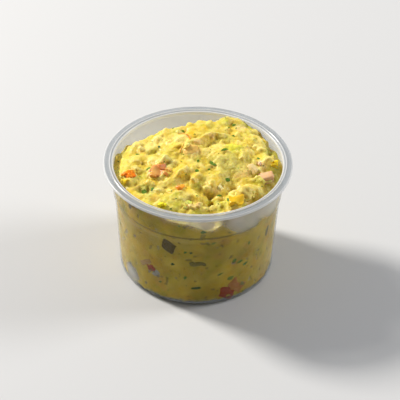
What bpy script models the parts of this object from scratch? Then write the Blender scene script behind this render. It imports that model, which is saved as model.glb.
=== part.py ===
"""A small clear plastic pot filled with chunky guacamole.

Units are metres, +Z is up, and the origin is the centre of the pot's foot on the table.
The pot is one turned shell. The guacamole is one solid that fills it up to a heaped,
lumpy top, and the largest diced pieces sit in the top in pockets of their own.
"""

import math
import random

import bmesh
import bpy
from mathutils import Euler, Vector, noise

MM = 0.001

# The pot, which is a thin shell of polypropylene.
RIM_HEIGHT = 49.0 * MM
RIM_RADIUS = 37.5 * MM
RIM_THICKNESS = 0.9 * MM
RIM_LIP_DROP = 0.4 * MM
BEAD_RADIUS = 35.0 * MM
BEAD_RISE = 0.3 * MM
WALL = 0.6 * MM
COLLAR_TOP_RADIUS = 34.2 * MM
COLLAR_FOOT_RADIUS = 33.6 * MM
COLLAR_DEPTH = 13.0 * MM
SHOULDER_DEPTH = 3.1 * MM
BODY_TOP_RADIUS = 32.8 * MM
BODY_FOOT_RADIUS = 30.65 * MM
FOOT_ROUNDING = 2.3 * MM
FOOT_RING_WIDTH = 2.4 * MM
FOOT_RECESS = 0.9 * MM
RECESS_SLOPE_OUTSIDE = 1.0 * MM
RECESS_SLOPE_INSIDE = (-0.8 * MM, 0.4 * MM)
RIM_EDGE_ROUND = 0.35 * MM
RIM_LIP_WIDTH = 0.9 * MM
RIM_ROOT_ROUND = 0.4 * MM
TURNED_STEPS = 60
AXIS_MERGE = 0.05 * MM

# The filling.
GAP = 0.3 * MM
FILL_STEPS = 60
TOP_RINGS = 21
FLOOR_RINGS = 3
TOP_RING_CROWDING = 1.15
SIDE_HEIGHTS = (12.0 * MM, 22.0 * MM)
FLOOR_MARGIN = 1.2 * MM
LUMP_SEED = 23
LUMP_COUNT = 46
LUMP_REACH = 31.0 * MM
LUMP_RADII = (2.4 * MM, 4.8 * MM)
LUMP_RISES = (0.18, 0.36)
LUMP_FADE = 2.0 * MM
TINY = 1e-9

# How far the filling reaches up the wall, round the pot: the angle from +X towards +Y in
# degrees, the level below the rim, and the width of the slope that leads up to the heap.
WALL_LEVELS = (
    (-180, -3.0, 5.0),
    (-150, -2.2, 5.0),
    (-125, -2.8, 5.0),
    (-106, -5.3, 6.0),
    (-96, -5.6, 6.0),
    (-88, -7.3, 6.0),
    (-80, -9.8, 6.0),
    (-74, -6.2, 5.0),
    (-69, -7.6, 5.0),
    (-64, -12.9, 5.0),
    (-40, -12.9, 5.0),
    (-24, -12.6, 5.0),
    (-10, -7.0, 5.0),
    (4, -3.2, 5.0),
    (20, -4.6, 5.0),
    (32, -4.8, 5.0),
    (42, -2.0, 5.0),
    (60, -1.2, 5.0),
    (71, -1.8, 5.0),
    (80, -9.0, 8.0),
    (92, -12.0, 12.0),
    (125, -12.0, 12.0),
    (144, -10.0, 9.0),
    (156, -6.4, 6.0),
    (168, -3.4, 5.0),
)

# The heap, as spoonfuls: the place of each and its height above the rim, in millimetres.
SPOONFULS = (
    (0, 20, 1.9),
    (-13, 17, 1.4),
    (-22, 11, -0.4),
    (11, 24, 0.6),
    (20, 19, -0.2),
    (-4, 8, 2.6),
    (-14, 4, 1.6),
    (-25, 0, -1.6),
    (8, 10, 2.2),
    (16, 5, 1.4),
    (25, 6, -1.4),
    (-4, -6, 1.4),
    (-14, -9, 0.2),
    (-24, -12, -2.0),
    (6, -8, 0.2),
    (12, -14, -4.0),
    (22, -7, -3.0),
    (-10, -19, -2.0),
    (-2, -22, -4.0),
    (6, -24, -6.0),
    (19, -22, -0.6),
    (27, -13, -4.0),
    (-18, -22, -3.0),
)
SPOONFUL_SPREAD = 6.0

# How the large pieces leave their plain shapes, as shares of their size.
LUMP_DENTS = 0.22
LUMP_DENT_SCALE = 2.6
DICE_SKEW = 0.10
DICE_ROUNDING = 0.16
POCKET_GAP = 1.15 * GAP
SHARP_ANGLE = 40

# The largest pieces: name, kind, place across the top, lift of the centre over the heap,
# size along the piece, and how it lies. Places and sizes in millimetres, turns in degrees.
CHUNKS = (
    ("avocado_chunk_1", "avocado", (-3.3, 4.6), -0.8, (7.4, 6.0, 4.4), (8, -6, 20)),
    ("avocado_chunk_2", "avocado", (13.8, 7.6), -0.9, (8.4, 5.8, 4.2), (-6, 8, -12)),
    ("avocado_chunk_3", "avocado", (18.6, -18.6), -0.4, (7.6, 6.6, 5.4), (14, 10, 35)),
    ("tomato_dice_1", "dice", (-14.8, -6.8), -0.9, (6.4, 5.2, 3.8), (6, 10, -18)),
    ("tomato_dice_2", "dice", (-27.2, -8.6), -0.5, (5.2, 3.0, 3.0), (-4, 12, 60)),
    ("tomato_dice_3", "dice", (-2.0, -22.8), -0.6, (6.2, 4.4, 3.6), (-16, -6, 12)),
    ("onion_dice_1", "dice", (27.2, -5.0), -0.3, (5.4, 3.0, 2.6), (12, -10, 14)),
    ("onion_dice_2", "dice", (21.6, -2.2), -0.3, (2.8, 3.6, 2.8), (10, 6, 5)),
)

COLOURS = {
    "cup": ((0.80, 0.82, 0.83, 1.0), 0.30),
    "guacamole": ((0.78, 0.58, 0.10, 1.0), 0.45),
    "avocado": ((0.76, 0.62, 0.09, 1.0), 0.40),
    "tomato": ((0.75, 0.18, 0.03, 1.0), 0.30),
    "onion": ((0.78, 0.52, 0.36, 1.0), 0.30),
}


def clear_scene():
    for obj in list(bpy.data.objects):
        bpy.data.objects.remove(obj)


def material(name):
    """A plain finish for one kind of stuff."""
    colour, roughness = COLOURS[name]
    made = bpy.data.materials.new(name)
    made.use_nodes = True
    shader = made.node_tree.nodes["Principled BSDF"]
    shader.inputs["Base Color"].default_value = colour
    shader.inputs["Roughness"].default_value = roughness
    shader.inputs["Metallic"].default_value = 0.0
    return made


def add_object(name, bm, finish):
    """Turns a bmesh into a named object, shaded smooth with its sharp edges kept."""
    bmesh.ops.recalc_face_normals(bm, faces=bm.faces)
    mesh = bpy.data.meshes.new(name)
    bm.to_mesh(mesh)
    bm.free()
    obj = bpy.data.objects.new(name, mesh)
    bpy.context.scene.collection.objects.link(obj)
    mesh.shade_smooth()
    mesh.set_sharp_from_angle(angle=math.radians(SHARP_ANGLE))
    mesh.materials.append(finish)
    return obj


def arc(centre_x, centre_z, radius, start, end, pieces):
    """Points of a round in the XZ plane, from one angle to another in degrees."""
    points = []
    for i in range(pieces + 1):
        turn = math.radians(start + (end - start) * i / pieces)
        points.append((centre_x + radius * math.cos(turn), centre_z + radius * math.sin(turn)))
    return points


def smoothstep(share):
    share = min(max(share, 0.0), 1.0)
    return share * share * (3.0 - 2.0 * share)


# ---------------------------------------------------------------- the pot

COLLAR_FOOT = RIM_HEIGHT - COLLAR_DEPTH
BODY_TOP = COLLAR_FOOT - SHOULDER_DEPTH
RIM_UNDER = RIM_HEIGHT - RIM_THICKNESS
FOOT_RING_OUTER = BODY_FOOT_RADIUS - FOOT_ROUNDING
FOOT_RING_INNER = FOOT_RING_OUTER - FOOT_RING_WIDTH


def inside_profile():
    """The inside face, from the middle of the floor up to the mouth, as (radius, height)."""
    floor_top = FOOT_RECESS + WALL
    points = [(0.0, floor_top), (FOOT_RING_INNER + RECESS_SLOPE_INSIDE[0], floor_top)]
    points.append((FOOT_RING_INNER + RECESS_SLOPE_INSIDE[1], WALL))
    points += arc(FOOT_RING_OUTER, FOOT_ROUNDING, FOOT_ROUNDING - WALL, -90, 0, 4)
    points.append((BODY_TOP_RADIUS - WALL, BODY_TOP))
    points.append((COLLAR_FOOT_RADIUS - WALL, COLLAR_FOOT))
    return points


def rim_profile():
    """The rim, from the mouth over the sealing bead and round the outer edge."""
    mouth = COLLAR_TOP_RADIUS - WALL
    edge = RIM_EDGE_ROUND
    points = arc(mouth + edge, RIM_HEIGHT - edge, edge, 180, 90, 3)
    points.append((BEAD_RADIUS - BEAD_RISE, RIM_HEIGHT))
    points.append((BEAD_RADIUS, RIM_HEIGHT + BEAD_RISE))
    points.append((BEAD_RADIUS + BEAD_RISE, RIM_HEIGHT))
    points += arc(RIM_RADIUS - edge, RIM_HEIGHT - edge, edge, 90, 0, 3)
    points += arc(RIM_RADIUS - edge, RIM_UNDER - RIM_LIP_DROP + edge, edge, 0, -90, 2)
    points.append((RIM_RADIUS - RIM_LIP_WIDTH, RIM_UNDER))
    return points


def outside_profile():
    """The outside face, from under the rim down to the middle of the foot."""
    points = [
        (COLLAR_TOP_RADIUS + RIM_ROOT_ROUND, RIM_UNDER),
        (COLLAR_TOP_RADIUS, RIM_UNDER - RIM_ROOT_ROUND),
        (COLLAR_FOOT_RADIUS, COLLAR_FOOT),
        (BODY_TOP_RADIUS, BODY_TOP),
    ]
    points += arc(FOOT_RING_OUTER, FOOT_ROUNDING, FOOT_ROUNDING, 0, -90, 5)
    points.append((FOOT_RING_INNER, 0.0))
    points.append((FOOT_RING_INNER - RECESS_SLOPE_OUTSIDE, FOOT_RECESS))
    points.append((0.0, FOOT_RECESS))
    return points


def make_cup():
    """The pot: its whole profile, turned round the Z axis."""
    profile = inside_profile() + rim_profile() + outside_profile()
    bm = bmesh.new()
    verts = [bm.verts.new((radius, 0.0, height)) for radius, height in profile]
    for first, second in zip(verts, verts[1:]):
        bm.edges.new((first, second))
    mesh = bpy.data.meshes.new("cup")
    bm.to_mesh(mesh)
    bm.free()
    mesh.materials.append(material("cup"))
    cup = bpy.data.objects.new("cup", mesh)
    bpy.context.scene.collection.objects.link(cup)
    turn = cup.modifiers.new("turn", "SCREW")
    turn.steps = TURNED_STEPS
    turn.render_steps = TURNED_STEPS
    turn.use_merge_vertices = True
    turn.merge_threshold = AXIS_MERGE
    turn.use_smooth_shade = True
    return cup


# ---------------------------------------------------------------- the filling


def wall_radius(height):
    """The inside radius of the pot at a height, read along its profile."""
    points = [p for p in inside_profile() if p[0] > FOOT_RING_OUTER - 0.01 * MM]
    points.append((COLLAR_TOP_RADIUS - WALL, RIM_HEIGHT))
    if height <= points[0][1]:
        return points[0][0]
    for (r0, z0), (r1, z1) in zip(points, points[1:]):
        if height <= z1:
            return r0 + (r1 - r0) * (height - z0) / max(z1 - z0, TINY)
    return points[-1][0]


def wall_level(angle):
    """The filling's height on the wall and the width of its slope, at an angle in degrees."""
    angle = (angle + 180.0) % 360.0 - 180.0
    stations = list(WALL_LEVELS) + [(180, WALL_LEVELS[0][1], WALL_LEVELS[0][2])]
    for (a0, level0, width0), (a1, level1, width1) in zip(stations, stations[1:]):
        if a0 <= angle <= a1:
            share = smoothstep((angle - a0) / (a1 - a0))
            level = level0 + (level1 - level0) * share
            return RIM_HEIGHT + level * MM, (width0 + (width1 - width0) * share) * MM
    raise ValueError(angle)


def spoonful_height(x, y):
    """The heap without its small lumps: the spoonfuls, blended by how near each one is."""
    total = 0.0
    weights = 0.0
    for spoon_x, spoon_y, height in SPOONFULS:
        apart = math.hypot(x / MM - spoon_x, y / MM - spoon_y) / SPOONFUL_SPREAD
        weight = math.exp(-apart * apart)
        total += weight * height
        weights += weight
    return RIM_HEIGHT + total / max(weights, TINY) * MM


def scattered_lumps():
    """Small lumps of mash all over the top: place, radius and height of each."""
    rng = random.Random(LUMP_SEED)
    lumps = []
    for _ in range(LUMP_COUNT):
        turn = rng.uniform(0.0, 2.0 * math.pi)
        out = LUMP_REACH * math.sqrt(rng.random())
        radius = rng.uniform(*LUMP_RADII)
        rise = rng.uniform(*LUMP_RISES) * radius
        lumps.append((out * math.cos(turn), out * math.sin(turn), radius, rise))
    return lumps


LUMPS = scattered_lumps()


def top_height(x, y):
    """The height of the filling's top at a place, from the heap, the wall and the lumps."""
    out = math.hypot(x, y)
    level, width = wall_level(math.degrees(math.atan2(y, x)))
    inwards = smoothstep((wall_radius(level) - out) / width)
    height = level + (spoonful_height(x, y) - level) * inwards
    bump = 0.0
    for lump_x, lump_y, radius, rise in LUMPS:
        apart = math.hypot(x - lump_x, y - lump_y) / radius
        if apart < 1.0:
            bump = max(bump, rise * (1.0 - apart * apart))
    return height + bump * smoothstep((wall_radius(level) - out) / LUMP_FADE)


def ring(bm, height_at, radius_at):
    """One ring of points round the Z axis, at a radius and height that turn with the angle."""
    made = []
    for i in range(FILL_STEPS):
        turn = 2.0 * math.pi * i / FILL_STEPS
        radius = radius_at(turn)
        x, y = radius * math.cos(turn), radius * math.sin(turn)
        made.append(bm.verts.new((x, y, height_at(x, y))))
    return made


def join_rings(bm, lower, upper):
    for i in range(FILL_STEPS):
        j = (i + 1) % FILL_STEPS
        bm.faces.new((lower[i], lower[j], upper[j], upper[i]))


def cap(bm, last, height, facing_up):
    """Closes a ring with triangles that meet in its middle."""
    middle = bm.verts.new((0.0, 0.0, height))
    for i in range(FILL_STEPS):
        j = (i + 1) % FILL_STEPS
        corners = (last[i], last[j], middle) if facing_up else (last[j], last[i], middle)
        bm.faces.new(corners)


def make_guacamole():
    """The filling: a floor, a side that follows the wall, and the heaped top."""
    bm = bmesh.new()
    floor = FOOT_RECESS + WALL + GAP
    floor_radius = FOOT_RING_INNER - FLOOR_MARGIN
    rings = []
    for i in range(1, FLOOR_RINGS + 1):
        radius = floor_radius * i / FLOOR_RINGS
        rings.append(ring(bm, lambda x, y: floor, lambda turn, r=radius: r))
    foot = [(FOOT_RING_INNER + 0.5 * MM, WALL + GAP)]
    foot += arc(FOOT_RING_OUTER, FOOT_ROUNDING, FOOT_ROUNDING - WALL - GAP, -80, 0, 3)
    for radius, height in foot:
        rings.append(ring(bm, lambda x, y, z=height: z, lambda turn, r=radius: r))
    for height in (*SIDE_HEIGHTS, BODY_TOP, COLLAR_FOOT - 0.5 * MM):
        radius = wall_radius(height) - GAP
        rings.append(ring(bm, lambda x, y, z=height: z, lambda turn, r=radius: r))
    for i in range(TOP_RINGS):
        share = 1.0 - (i / TOP_RINGS) ** TOP_RING_CROWDING

        def radius_at(turn, share=share):
            level = wall_level(math.degrees(turn))[0]
            return (wall_radius(level) - GAP) * share

        rings.append(ring(bm, top_height, radius_at))
    for lower, upper in zip(rings, rings[1:]):
        join_rings(bm, lower, upper)
    cap(bm, rings[0], floor, facing_up=False)
    cap(bm, rings[-1], top_height(0.0, 0.0), facing_up=True)
    return add_object("guacamole", bm, material("guacamole"))


# ---------------------------------------------------------------- the large pieces


def avocado_lump(size, key):
    """A soft lump: a ball pressed out of round."""
    bm = bmesh.new()
    bmesh.ops.create_icosphere(bm, subdivisions=2, radius=0.5)
    for vert in bm.verts:
        push = noise.noise(vert.co * LUMP_DENT_SCALE + Vector((key * 3.7, key * 1.3, 0.0)))
        vert.co *= 1.0 + LUMP_DENTS * push
        vert.co = Vector([a * b * MM for a, b in zip(vert.co, size)])
    return bm


def diced_piece(size, key):
    """A knife-cut dice: a box with its corners off square and its edges rounded."""
    rng = random.Random(key)
    bm = bmesh.new()
    bmesh.ops.create_cube(bm, size=1.0)
    for vert in bm.verts:
        vert.co += Vector([rng.uniform(-DICE_SKEW, DICE_SKEW) for _ in range(3)])
        vert.co = Vector([a * b * MM for a, b in zip(vert.co, size)])
    bmesh.ops.bevel(
        bm,
        geom=list(bm.edges),
        offset=DICE_ROUNDING * min(size) * MM,
        segments=2,
        profile=0.5,
        affect="EDGES",
        clamp_overlap=True,
    )
    return bm


def place_on_top(bm, place, lift, turns):
    """Turns a piece and sets it in the heap, its middle a little over or under the top."""
    x, y = place[0] * MM, place[1] * MM
    bm.transform(Euler([math.radians(t) for t in turns]).to_matrix().to_4x4())
    bmesh.ops.translate(bm, verts=bm.verts, vec=(x, y, top_height(x, y) + lift * MM))


def make_chunk(spec, key):
    """A large piece and the pocket that holds it, which is the same shape grown by the gap."""
    name, kind, place, lift, size, turns = spec
    build = avocado_lump if kind == "avocado" else diced_piece
    bm = build(size, key)
    place_on_top(bm, place, lift, turns)
    chunk = add_object(name, bm, bpy.data.materials[name.split("_")[0]])

    bm = build(size, key)
    place_on_top(bm, place, lift, turns)
    bm.normal_update()
    for vert in bm.verts:
        vert.co += vert.normal * POCKET_GAP
    pocket = add_object("pocket_" + name, bm, chunk.data.materials[0])
    pocket.hide_render = True
    pocket.display_type = "WIRE"
    return pocket


def cut_pocket(filling, pocket):
    cut = filling.modifiers.new(pocket.name, "BOOLEAN")
    cut.operation = "DIFFERENCE"
    cut.object = pocket


def main():
    clear_scene()
    for name in ("avocado", "tomato", "onion"):
        material(name)
    make_cup()
    filling = make_guacamole()
    for key, spec in enumerate(CHUNKS, start=1):
        cut_pocket(filling, make_chunk(spec, key))


main()
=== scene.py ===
# %% [markdown]
# # Guacamole in a portion pot
#
# The real thing is a thin, milky plastic pot with chunky avocado mash heaped in it. The mash is
# wet and crumbly on top, and pressed flat where it meets the wall. This script loads the solid
# model as a fixed frame, and then makes each surface as it looks: the pot, the mash, the diced
# pieces in it, the chopped leaf, and a plain studio round them.

# %% Load the frame
import math
import random

import bmesh
import bpy
import numpy as np
from mathutils import Euler, Matrix, Vector
from mathutils.bvhtree import BVHTree
from mathutils.kdtree import KDTree


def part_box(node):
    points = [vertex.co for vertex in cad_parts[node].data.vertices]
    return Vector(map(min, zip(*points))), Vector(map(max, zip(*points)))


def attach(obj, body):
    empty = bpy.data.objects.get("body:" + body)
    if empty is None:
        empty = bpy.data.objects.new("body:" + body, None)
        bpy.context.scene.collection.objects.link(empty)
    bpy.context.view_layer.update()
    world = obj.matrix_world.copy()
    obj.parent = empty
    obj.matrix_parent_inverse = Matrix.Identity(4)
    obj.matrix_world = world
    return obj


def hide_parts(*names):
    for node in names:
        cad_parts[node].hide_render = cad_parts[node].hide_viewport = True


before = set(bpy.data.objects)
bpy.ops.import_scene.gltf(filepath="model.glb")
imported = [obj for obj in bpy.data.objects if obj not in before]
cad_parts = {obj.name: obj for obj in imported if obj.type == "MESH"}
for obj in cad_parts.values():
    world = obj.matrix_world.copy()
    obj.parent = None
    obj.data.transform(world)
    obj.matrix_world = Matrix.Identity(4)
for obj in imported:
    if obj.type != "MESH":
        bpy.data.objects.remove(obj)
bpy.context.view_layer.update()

MM = 0.001

# %% [markdown]
# ## Sizes read off the frame
#
# Every shape here has to agree with the solid model, so its sizes come from there. Rays cast from
# the axis outwards measure the pot's inner wall at each height, and rays cast down measure how
# high the mash stands. A ray is the simplest ruler that Blender has.

# %% Rulers


def tree_of(*names):
    """One search tree over the meshes of some nodes."""
    verts, faces = [], []
    for name in names:
        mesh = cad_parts[name].data
        offset = len(verts)
        verts += [v.co.copy() for v in mesh.vertices]
        faces += [[offset + i for i in p.vertices] for p in mesh.polygons]
    return BVHTree.FromPolygons(verts, faces)


CUP_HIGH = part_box("cup")[1]
BEAD_RISE = 0.3 * MM
RIM_HEIGHT = CUP_HIGH.z - BEAD_RISE
RIM_RADIUS = CUP_HIGH.x
WALL = 0.6 * MM
cup_tree = tree_of("cup")
mash_tree = tree_of("guacamole")

WALL_HEIGHTS = np.linspace(3.0 * MM, RIM_HEIGHT - 0.4 * MM, 90)
WALL_RADII = np.array([
    cup_tree.ray_cast(Vector((0, 0, z)), Vector((1, 0, 0)))[3] for z in WALL_HEIGHTS
])


def wall_radius(z):
    """The pot's inner radius at a height. It takes a number or an array."""
    return np.interp(z, WALL_HEIGHTS, WALL_RADII)


print("inner wall in mm, low to high:", np.round(WALL_RADII[::30] / MM, 2))

# %% [markdown]
# ## The broad shape of the heap
#
# The solid model has pockets for the large pieces. The mash under them is needed without the
# pockets, so each pocket's circle is filled from the heights round its edge.

# %% The heap as a grid of heights
GRID_STEP = 0.5 * MM
GRID_HALF = 34.0 * MM
POCKET_MARGIN = 0.8 * MM
POCKET_STEPS = 24
RAY_START = 0.1
TINY = 1e-9
CHUNK_NODES = sorted(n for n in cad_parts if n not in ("cup", "guacamole"))


def node_circle(name):
    """A node's middle and the radius of a circle that holds it, seen from above."""
    low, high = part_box(name)
    middle = (low + high) / 2
    return middle, math.hypot(high.x - low.x, high.y - low.y) / 2


def cast_down(tree, x, y, default=None):
    hit = tree.ray_cast(Vector((x, y, RAY_START)), Vector((0, 0, -1)))[0]
    return default if hit is None else hit.z


def heap_grid():
    """Heights of the mash on a square grid, with the pockets filled in."""
    axis = np.arange(-GRID_HALF, GRID_HALF + GRID_STEP / 2, GRID_STEP)
    heights = np.full((len(axis), len(axis)), np.nan)
    for i, x in enumerate(axis):
        for j, y in enumerate(axis):
            hit = cast_down(mash_tree, x, y)
            if hit is not None:
                heights[i, j] = hit
    xs, ys = np.meshgrid(axis, axis, indexing="ij")
    # Outside the mash, the nearest height inwards is carried out to the edge of the grid.
    outside = np.isnan(heights)
    turn = np.arctan2(ys[outside], xs[outside])
    fill = []
    for angle in turn:
        for out in np.arange(33.2, 31.0, -0.2) * MM:
            hit = cast_down(mash_tree, out * math.cos(angle), out * math.sin(angle))
            if hit is not None:
                break
        fill.append(hit)
    heights[outside] = fill
    for name in CHUNK_NODES:
        middle, radius = node_circle(name)
        radius += POCKET_MARGIN
        ring = []
        for k in range(POCKET_STEPS):
            turn = 2 * math.pi * k / POCKET_STEPS
            x = middle.x + radius * math.cos(turn)
            y = middle.y + radius * math.sin(turn)
            ring.append((x, y, cast_down(mash_tree, x, y, RIM_HEIGHT - 6 * MM)))
        ring = np.array(ring)
        inside = np.hypot(xs - middle.x, ys - middle.y) < radius
        apart = np.hypot(
            xs[inside][:, None] - ring[:, 0], ys[inside][:, None] - ring[:, 1]
        )
        weight = 1.0 / (apart + 0.2 * MM) ** 2
        heights[inside] = (weight * ring[:, 2]).sum(1) / weight.sum(1)
    return axis, heights


GRID_AXIS, HEAP = heap_grid()


def heap_height(x, y):
    """The heap's height at places, read between the grid's points."""
    u = np.clip((np.asarray(x) + GRID_HALF) / GRID_STEP, 0, len(GRID_AXIS) - 1.001)
    v = np.clip((np.asarray(y) + GRID_HALF) / GRID_STEP, 0, len(GRID_AXIS) - 1.001)
    i, j = u.astype(int), v.astype(int)
    a, b = u - i, v - j
    low = HEAP[i, j] * (1 - b) + HEAP[i, j + 1] * b
    high = HEAP[i + 1, j] * (1 - b) + HEAP[i + 1, j + 1] * b
    return low * (1 - a) + high * a


print("heap from", round(HEAP.min() / MM, 1), "to", round(HEAP.max() / MM, 1), "mm")

# %% [markdown]
# ## Noise for whole meshes at once
#
# Mash has no two lumps alike, so many shapes below are pushed about by noise. Blender's own noise
# function takes one point at a time, and numpy takes a whole mesh in one step, so this is a small
# value noise in numpy: random numbers on a lattice, blended smoothly between its corners.

# %% Value noise


def lattice(cells, seed):
    """A random number from -1 to 1 for each lattice point."""
    mixed = cells[:, 0] * 73856093 ^ cells[:, 1] * 19349663 ^ cells[:, 2] * 83492791
    mixed = (mixed ^ (seed * 7919)) & 0x7FFFFFFF
    mixed = (mixed ^ (mixed >> 13)) * 1274126177 & 0x7FFFFFFF
    mixed = mixed ^ (mixed >> 16)
    return (mixed % 20011) / 10005.0 - 1.0


def noise(points, size, seed):
    """Smooth noise from -1 to 1 at points, whose features are about size across."""
    scaled = points / size
    cells = np.floor(scaled).astype(np.int64)
    part = scaled - cells
    part = part * part * (3.0 - 2.0 * part)
    total = np.zeros(len(points))
    for corner in range(8):
        step = np.array([corner & 1, corner >> 1 & 1, corner >> 2 & 1])
        weight = np.prod(np.where(step, part, 1.0 - part), axis=1)
        total += weight * lattice(cells + step, seed)
    return total


def noise_vectors(points, size, seed):
    """Noise as vectors, from three seeds."""
    return np.stack([noise(points, size, seed + 31 * k) for k in range(3)], axis=1)


print("noise at the origin:", np.round(noise(np.zeros((1, 3)), MM, 1), 2))

# %% [markdown]
# ## Folds and hollows
#
# Mash that was spooned in and pushed down keeps the marks: strands that were dragged sideways,
# humps, and hollows between them. Each is a soft oval bump or dent on the heap's broad shape, and
# noise of two sizes breaks their outlines.

# %% Shape the top
# Place across the top, half length, half width, turn in degrees and rise, in millimetres.
FOLDS = (
    (-3.4, 8.2, 3.6, 1.2, 35, 1.5),
    (2.2, 12.2, 4.2, 1.2, 45, 1.5),
    (8.0, 14.4, 4.0, 1.3, 5, 1.3),
    (4.4, 7.8, 3.4, 1.8, 50, -1.5),
    (-8.4, 3.0, 2.8, 1.8, 0, -0.9),
    (-7.6, 12.0, 4.6, 2.6, 0, 0.8),
    (-17.1, 5.0, 3.0, 1.7, 10, -1.2),
    (-24.0, 0.6, 3.6, 1.5, 15, 1.1),
    (-19.7, -16.2, 3.4, 1.9, 0, -1.2),
    (-22.5, -7.2, 2.6, 1.4, 0, -0.7),
    (-7.0, -9.0, 3.0, 1.1, 55, 1.2),
    (-2.2, -19.0, 4.0, 2.4, 10, 1.0),
    (5.0, -19.4, 1.2, 3.0, 0, -1.9),
    (-12.6, -22.4, 4.4, 1.5, -15, 0.7),
    (12.8, -12.3, 2.8, 2.1, 0, -1.9),
    (20.4, -14.2, 4.0, 2.6, 20, 1.3),
    (14.6, -21.4, 4.6, 1.6, 8, 1.2),
    (28.2, 1.8, 3.0, 2.4, 0, 1.0),
    (27.4, -10.1, 2.4, 2.2, 0, -0.7),
    (27.0, 9.4, 2.4, 1.7, -30, -1.5),
    (24.4, 15.6, 4.4, 1.5, -50, 1.0),
    (17.4, 22.8, 3.0, 1.2, 0, -0.8),
    (12.0, -3.0, 5.0, 3.4, 70, 0.5),
    (12.5, 28.0, 5.0, 2.4, 0, 1.2),
    (-12.0, -1.0, 3.0, 1.4, 20, 0.6),
    (3.0, -9.0, 4.0, 1.2, 25, 0.7),
    (-27.6, -12.4, 2.4, 1.6, 0, 0.9),
)
FOLD_RISE = 1.7
# Width and height of the broad creases and of the small clumps.
CREASE_WIDTH, CREASE_HEIGHT = 5.5 * MM, 0.60 * MM
CLUMP_WIDTH, CLUMP_HEIGHT = 2.6 * MM, 0.32 * MM


def shaped_height(x, y):
    """The height of the heap with its folds and hollows."""
    x, y = np.asarray(x, float), np.asarray(y, float)
    height = heap_height(x, y)
    flat = np.stack([x.ravel(), y.ravel(), np.zeros(x.size)], axis=1)
    bent = flat + noise_vectors(flat, 4.0 * MM, 5) * 0.9 * MM
    bx, by = bent[:, 0].reshape(x.shape), bent[:, 1].reshape(x.shape)
    for fx, fy, long, wide, turn, rise in FOLDS:
        c, s = math.cos(math.radians(turn)), math.sin(math.radians(turn))
        u = ((bx - fx * MM) * c + (by - fy * MM) * s) / (long * MM)
        v = ((by - fy * MM) * c - (bx - fx * MM) * s) / (wide * MM)
        height = height + FOLD_RISE * rise * MM * np.exp(-(u * u + v * v))
    creases = 1.0 - 2.0 * np.abs(noise(flat, CREASE_WIDTH, 6))
    clumps = noise(flat, CLUMP_WIDTH, 8)
    rough = (CREASE_HEIGHT * creases + CLUMP_HEIGHT * clumps).reshape(x.shape)
    out = np.hypot(x, y)
    return height + rough * np.clip((33.5 * MM - out) / (3 * MM), 0.3, 1)


middle_height = float(shaped_height(0.0, 0.0))
print("folds:", len(FOLDS), "and the top's middle in mm:", round(middle_height / MM, 1))

# %% [markdown]
# ## Mesh helpers
#
# Many small lumps are one mesh each time, because one object with many islands is lighter than
# many objects. A small set of helpers gathers the islands.

# %% Gather islands into one mesh


class Heap:
    """Islands of one kind, gathered as points and faces, with a colour for each island."""

    def __init__(self):
        self.points = []
        self.faces = []
        self.colours = []
        self.count = 0

    def add(self, points, faces, colour=(1.0, 1.0, 1.0)):
        self.points.append(np.asarray(points, float))
        self.faces += [tuple(self.count + i for i in face) for face in faces]
        self.colours.append(np.tile(np.array([*colour, 1.0]), (len(points), 1)))
        self.count += len(points)

    def make(self, name, smooth=True):
        mesh = bpy.data.meshes.new(name)
        mesh.from_pydata(np.concatenate(self.points), [], self.faces)
        tint = mesh.attributes.new("tint", "FLOAT_COLOR", "POINT")
        tint.data.foreach_set("color", np.concatenate(self.colours).astype(np.float32).ravel())
        return add_object(name, mesh, smooth)


def add_object(name, mesh, smooth=True):
    mesh.validate()
    if smooth:
        mesh.shade_smooth()
    obj = bpy.data.objects.new(name, mesh)
    bpy.context.scene.collection.objects.link(obj)
    return obj


def base_ball(levels):
    """A ball of triangles, as arrays of points and faces."""
    bm = bmesh.new()
    bmesh.ops.create_icosphere(bm, subdivisions=levels, radius=1.0)
    points = np.array([v.co for v in bm.verts])
    faces = [tuple(v.index for v in f.verts) for f in bm.faces]
    bm.free()
    return points, faces


def base_dice(cuts, rounding):
    """A cube with its faces divided and its edges rounded, as points and faces."""
    bm = bmesh.new()
    bmesh.ops.create_cube(bm, size=1.0)
    bmesh.ops.subdivide_edges(bm, edges=list(bm.edges), cuts=cuts, use_grid_fill=True)
    points = np.array([v.co for v in bm.verts])
    inner = np.clip(points, -0.5 + rounding, 0.5 - rounding)
    out = points - inner
    length = np.linalg.norm(out, axis=1, keepdims=True)
    points = inner + out / np.maximum(length, TINY) * rounding
    faces = [tuple(v.index for v in f.verts) for f in bm.faces]
    bm.free()
    return points, faces


BALL_SMALL = base_ball(1)
BALL_MIDDLE = base_ball(2)
BALL_LARGE = base_ball(4)
DICE = base_dice(7, 0.16)


def points_of(mesh):
    flat = np.empty(len(mesh.vertices) * 3, np.float32)
    mesh.vertices.foreach_get("co", flat)
    return flat.reshape(-1, 3).astype(float)


def normals_of(mesh):
    flat = np.empty(len(mesh.vertices) * 3, np.float32)
    mesh.vertex_normals.foreach_get("vector", flat)
    return flat.reshape(-1, 3).astype(float)


def set_points(mesh, points):
    mesh.vertices.foreach_set("co", points.astype(np.float32).ravel())
    mesh.update()


print("points in a dice:", len(DICE[0]), "and in a large ball:", len(BALL_LARGE[0]))

# %% [markdown]
# ## The pot
#
# The real pot is thermoformed from a sheet of polypropylene: one thin wall, a flat rim with a
# fine sealing bead, a nearly upright collar, a shoulder on which stacked pots rest, and a body
# that tapers to a rounded foot. It is round, so its profile is drawn once and turned. The Screw
# modifier does that, and 192 steps keep the rim's outline smooth.

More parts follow.
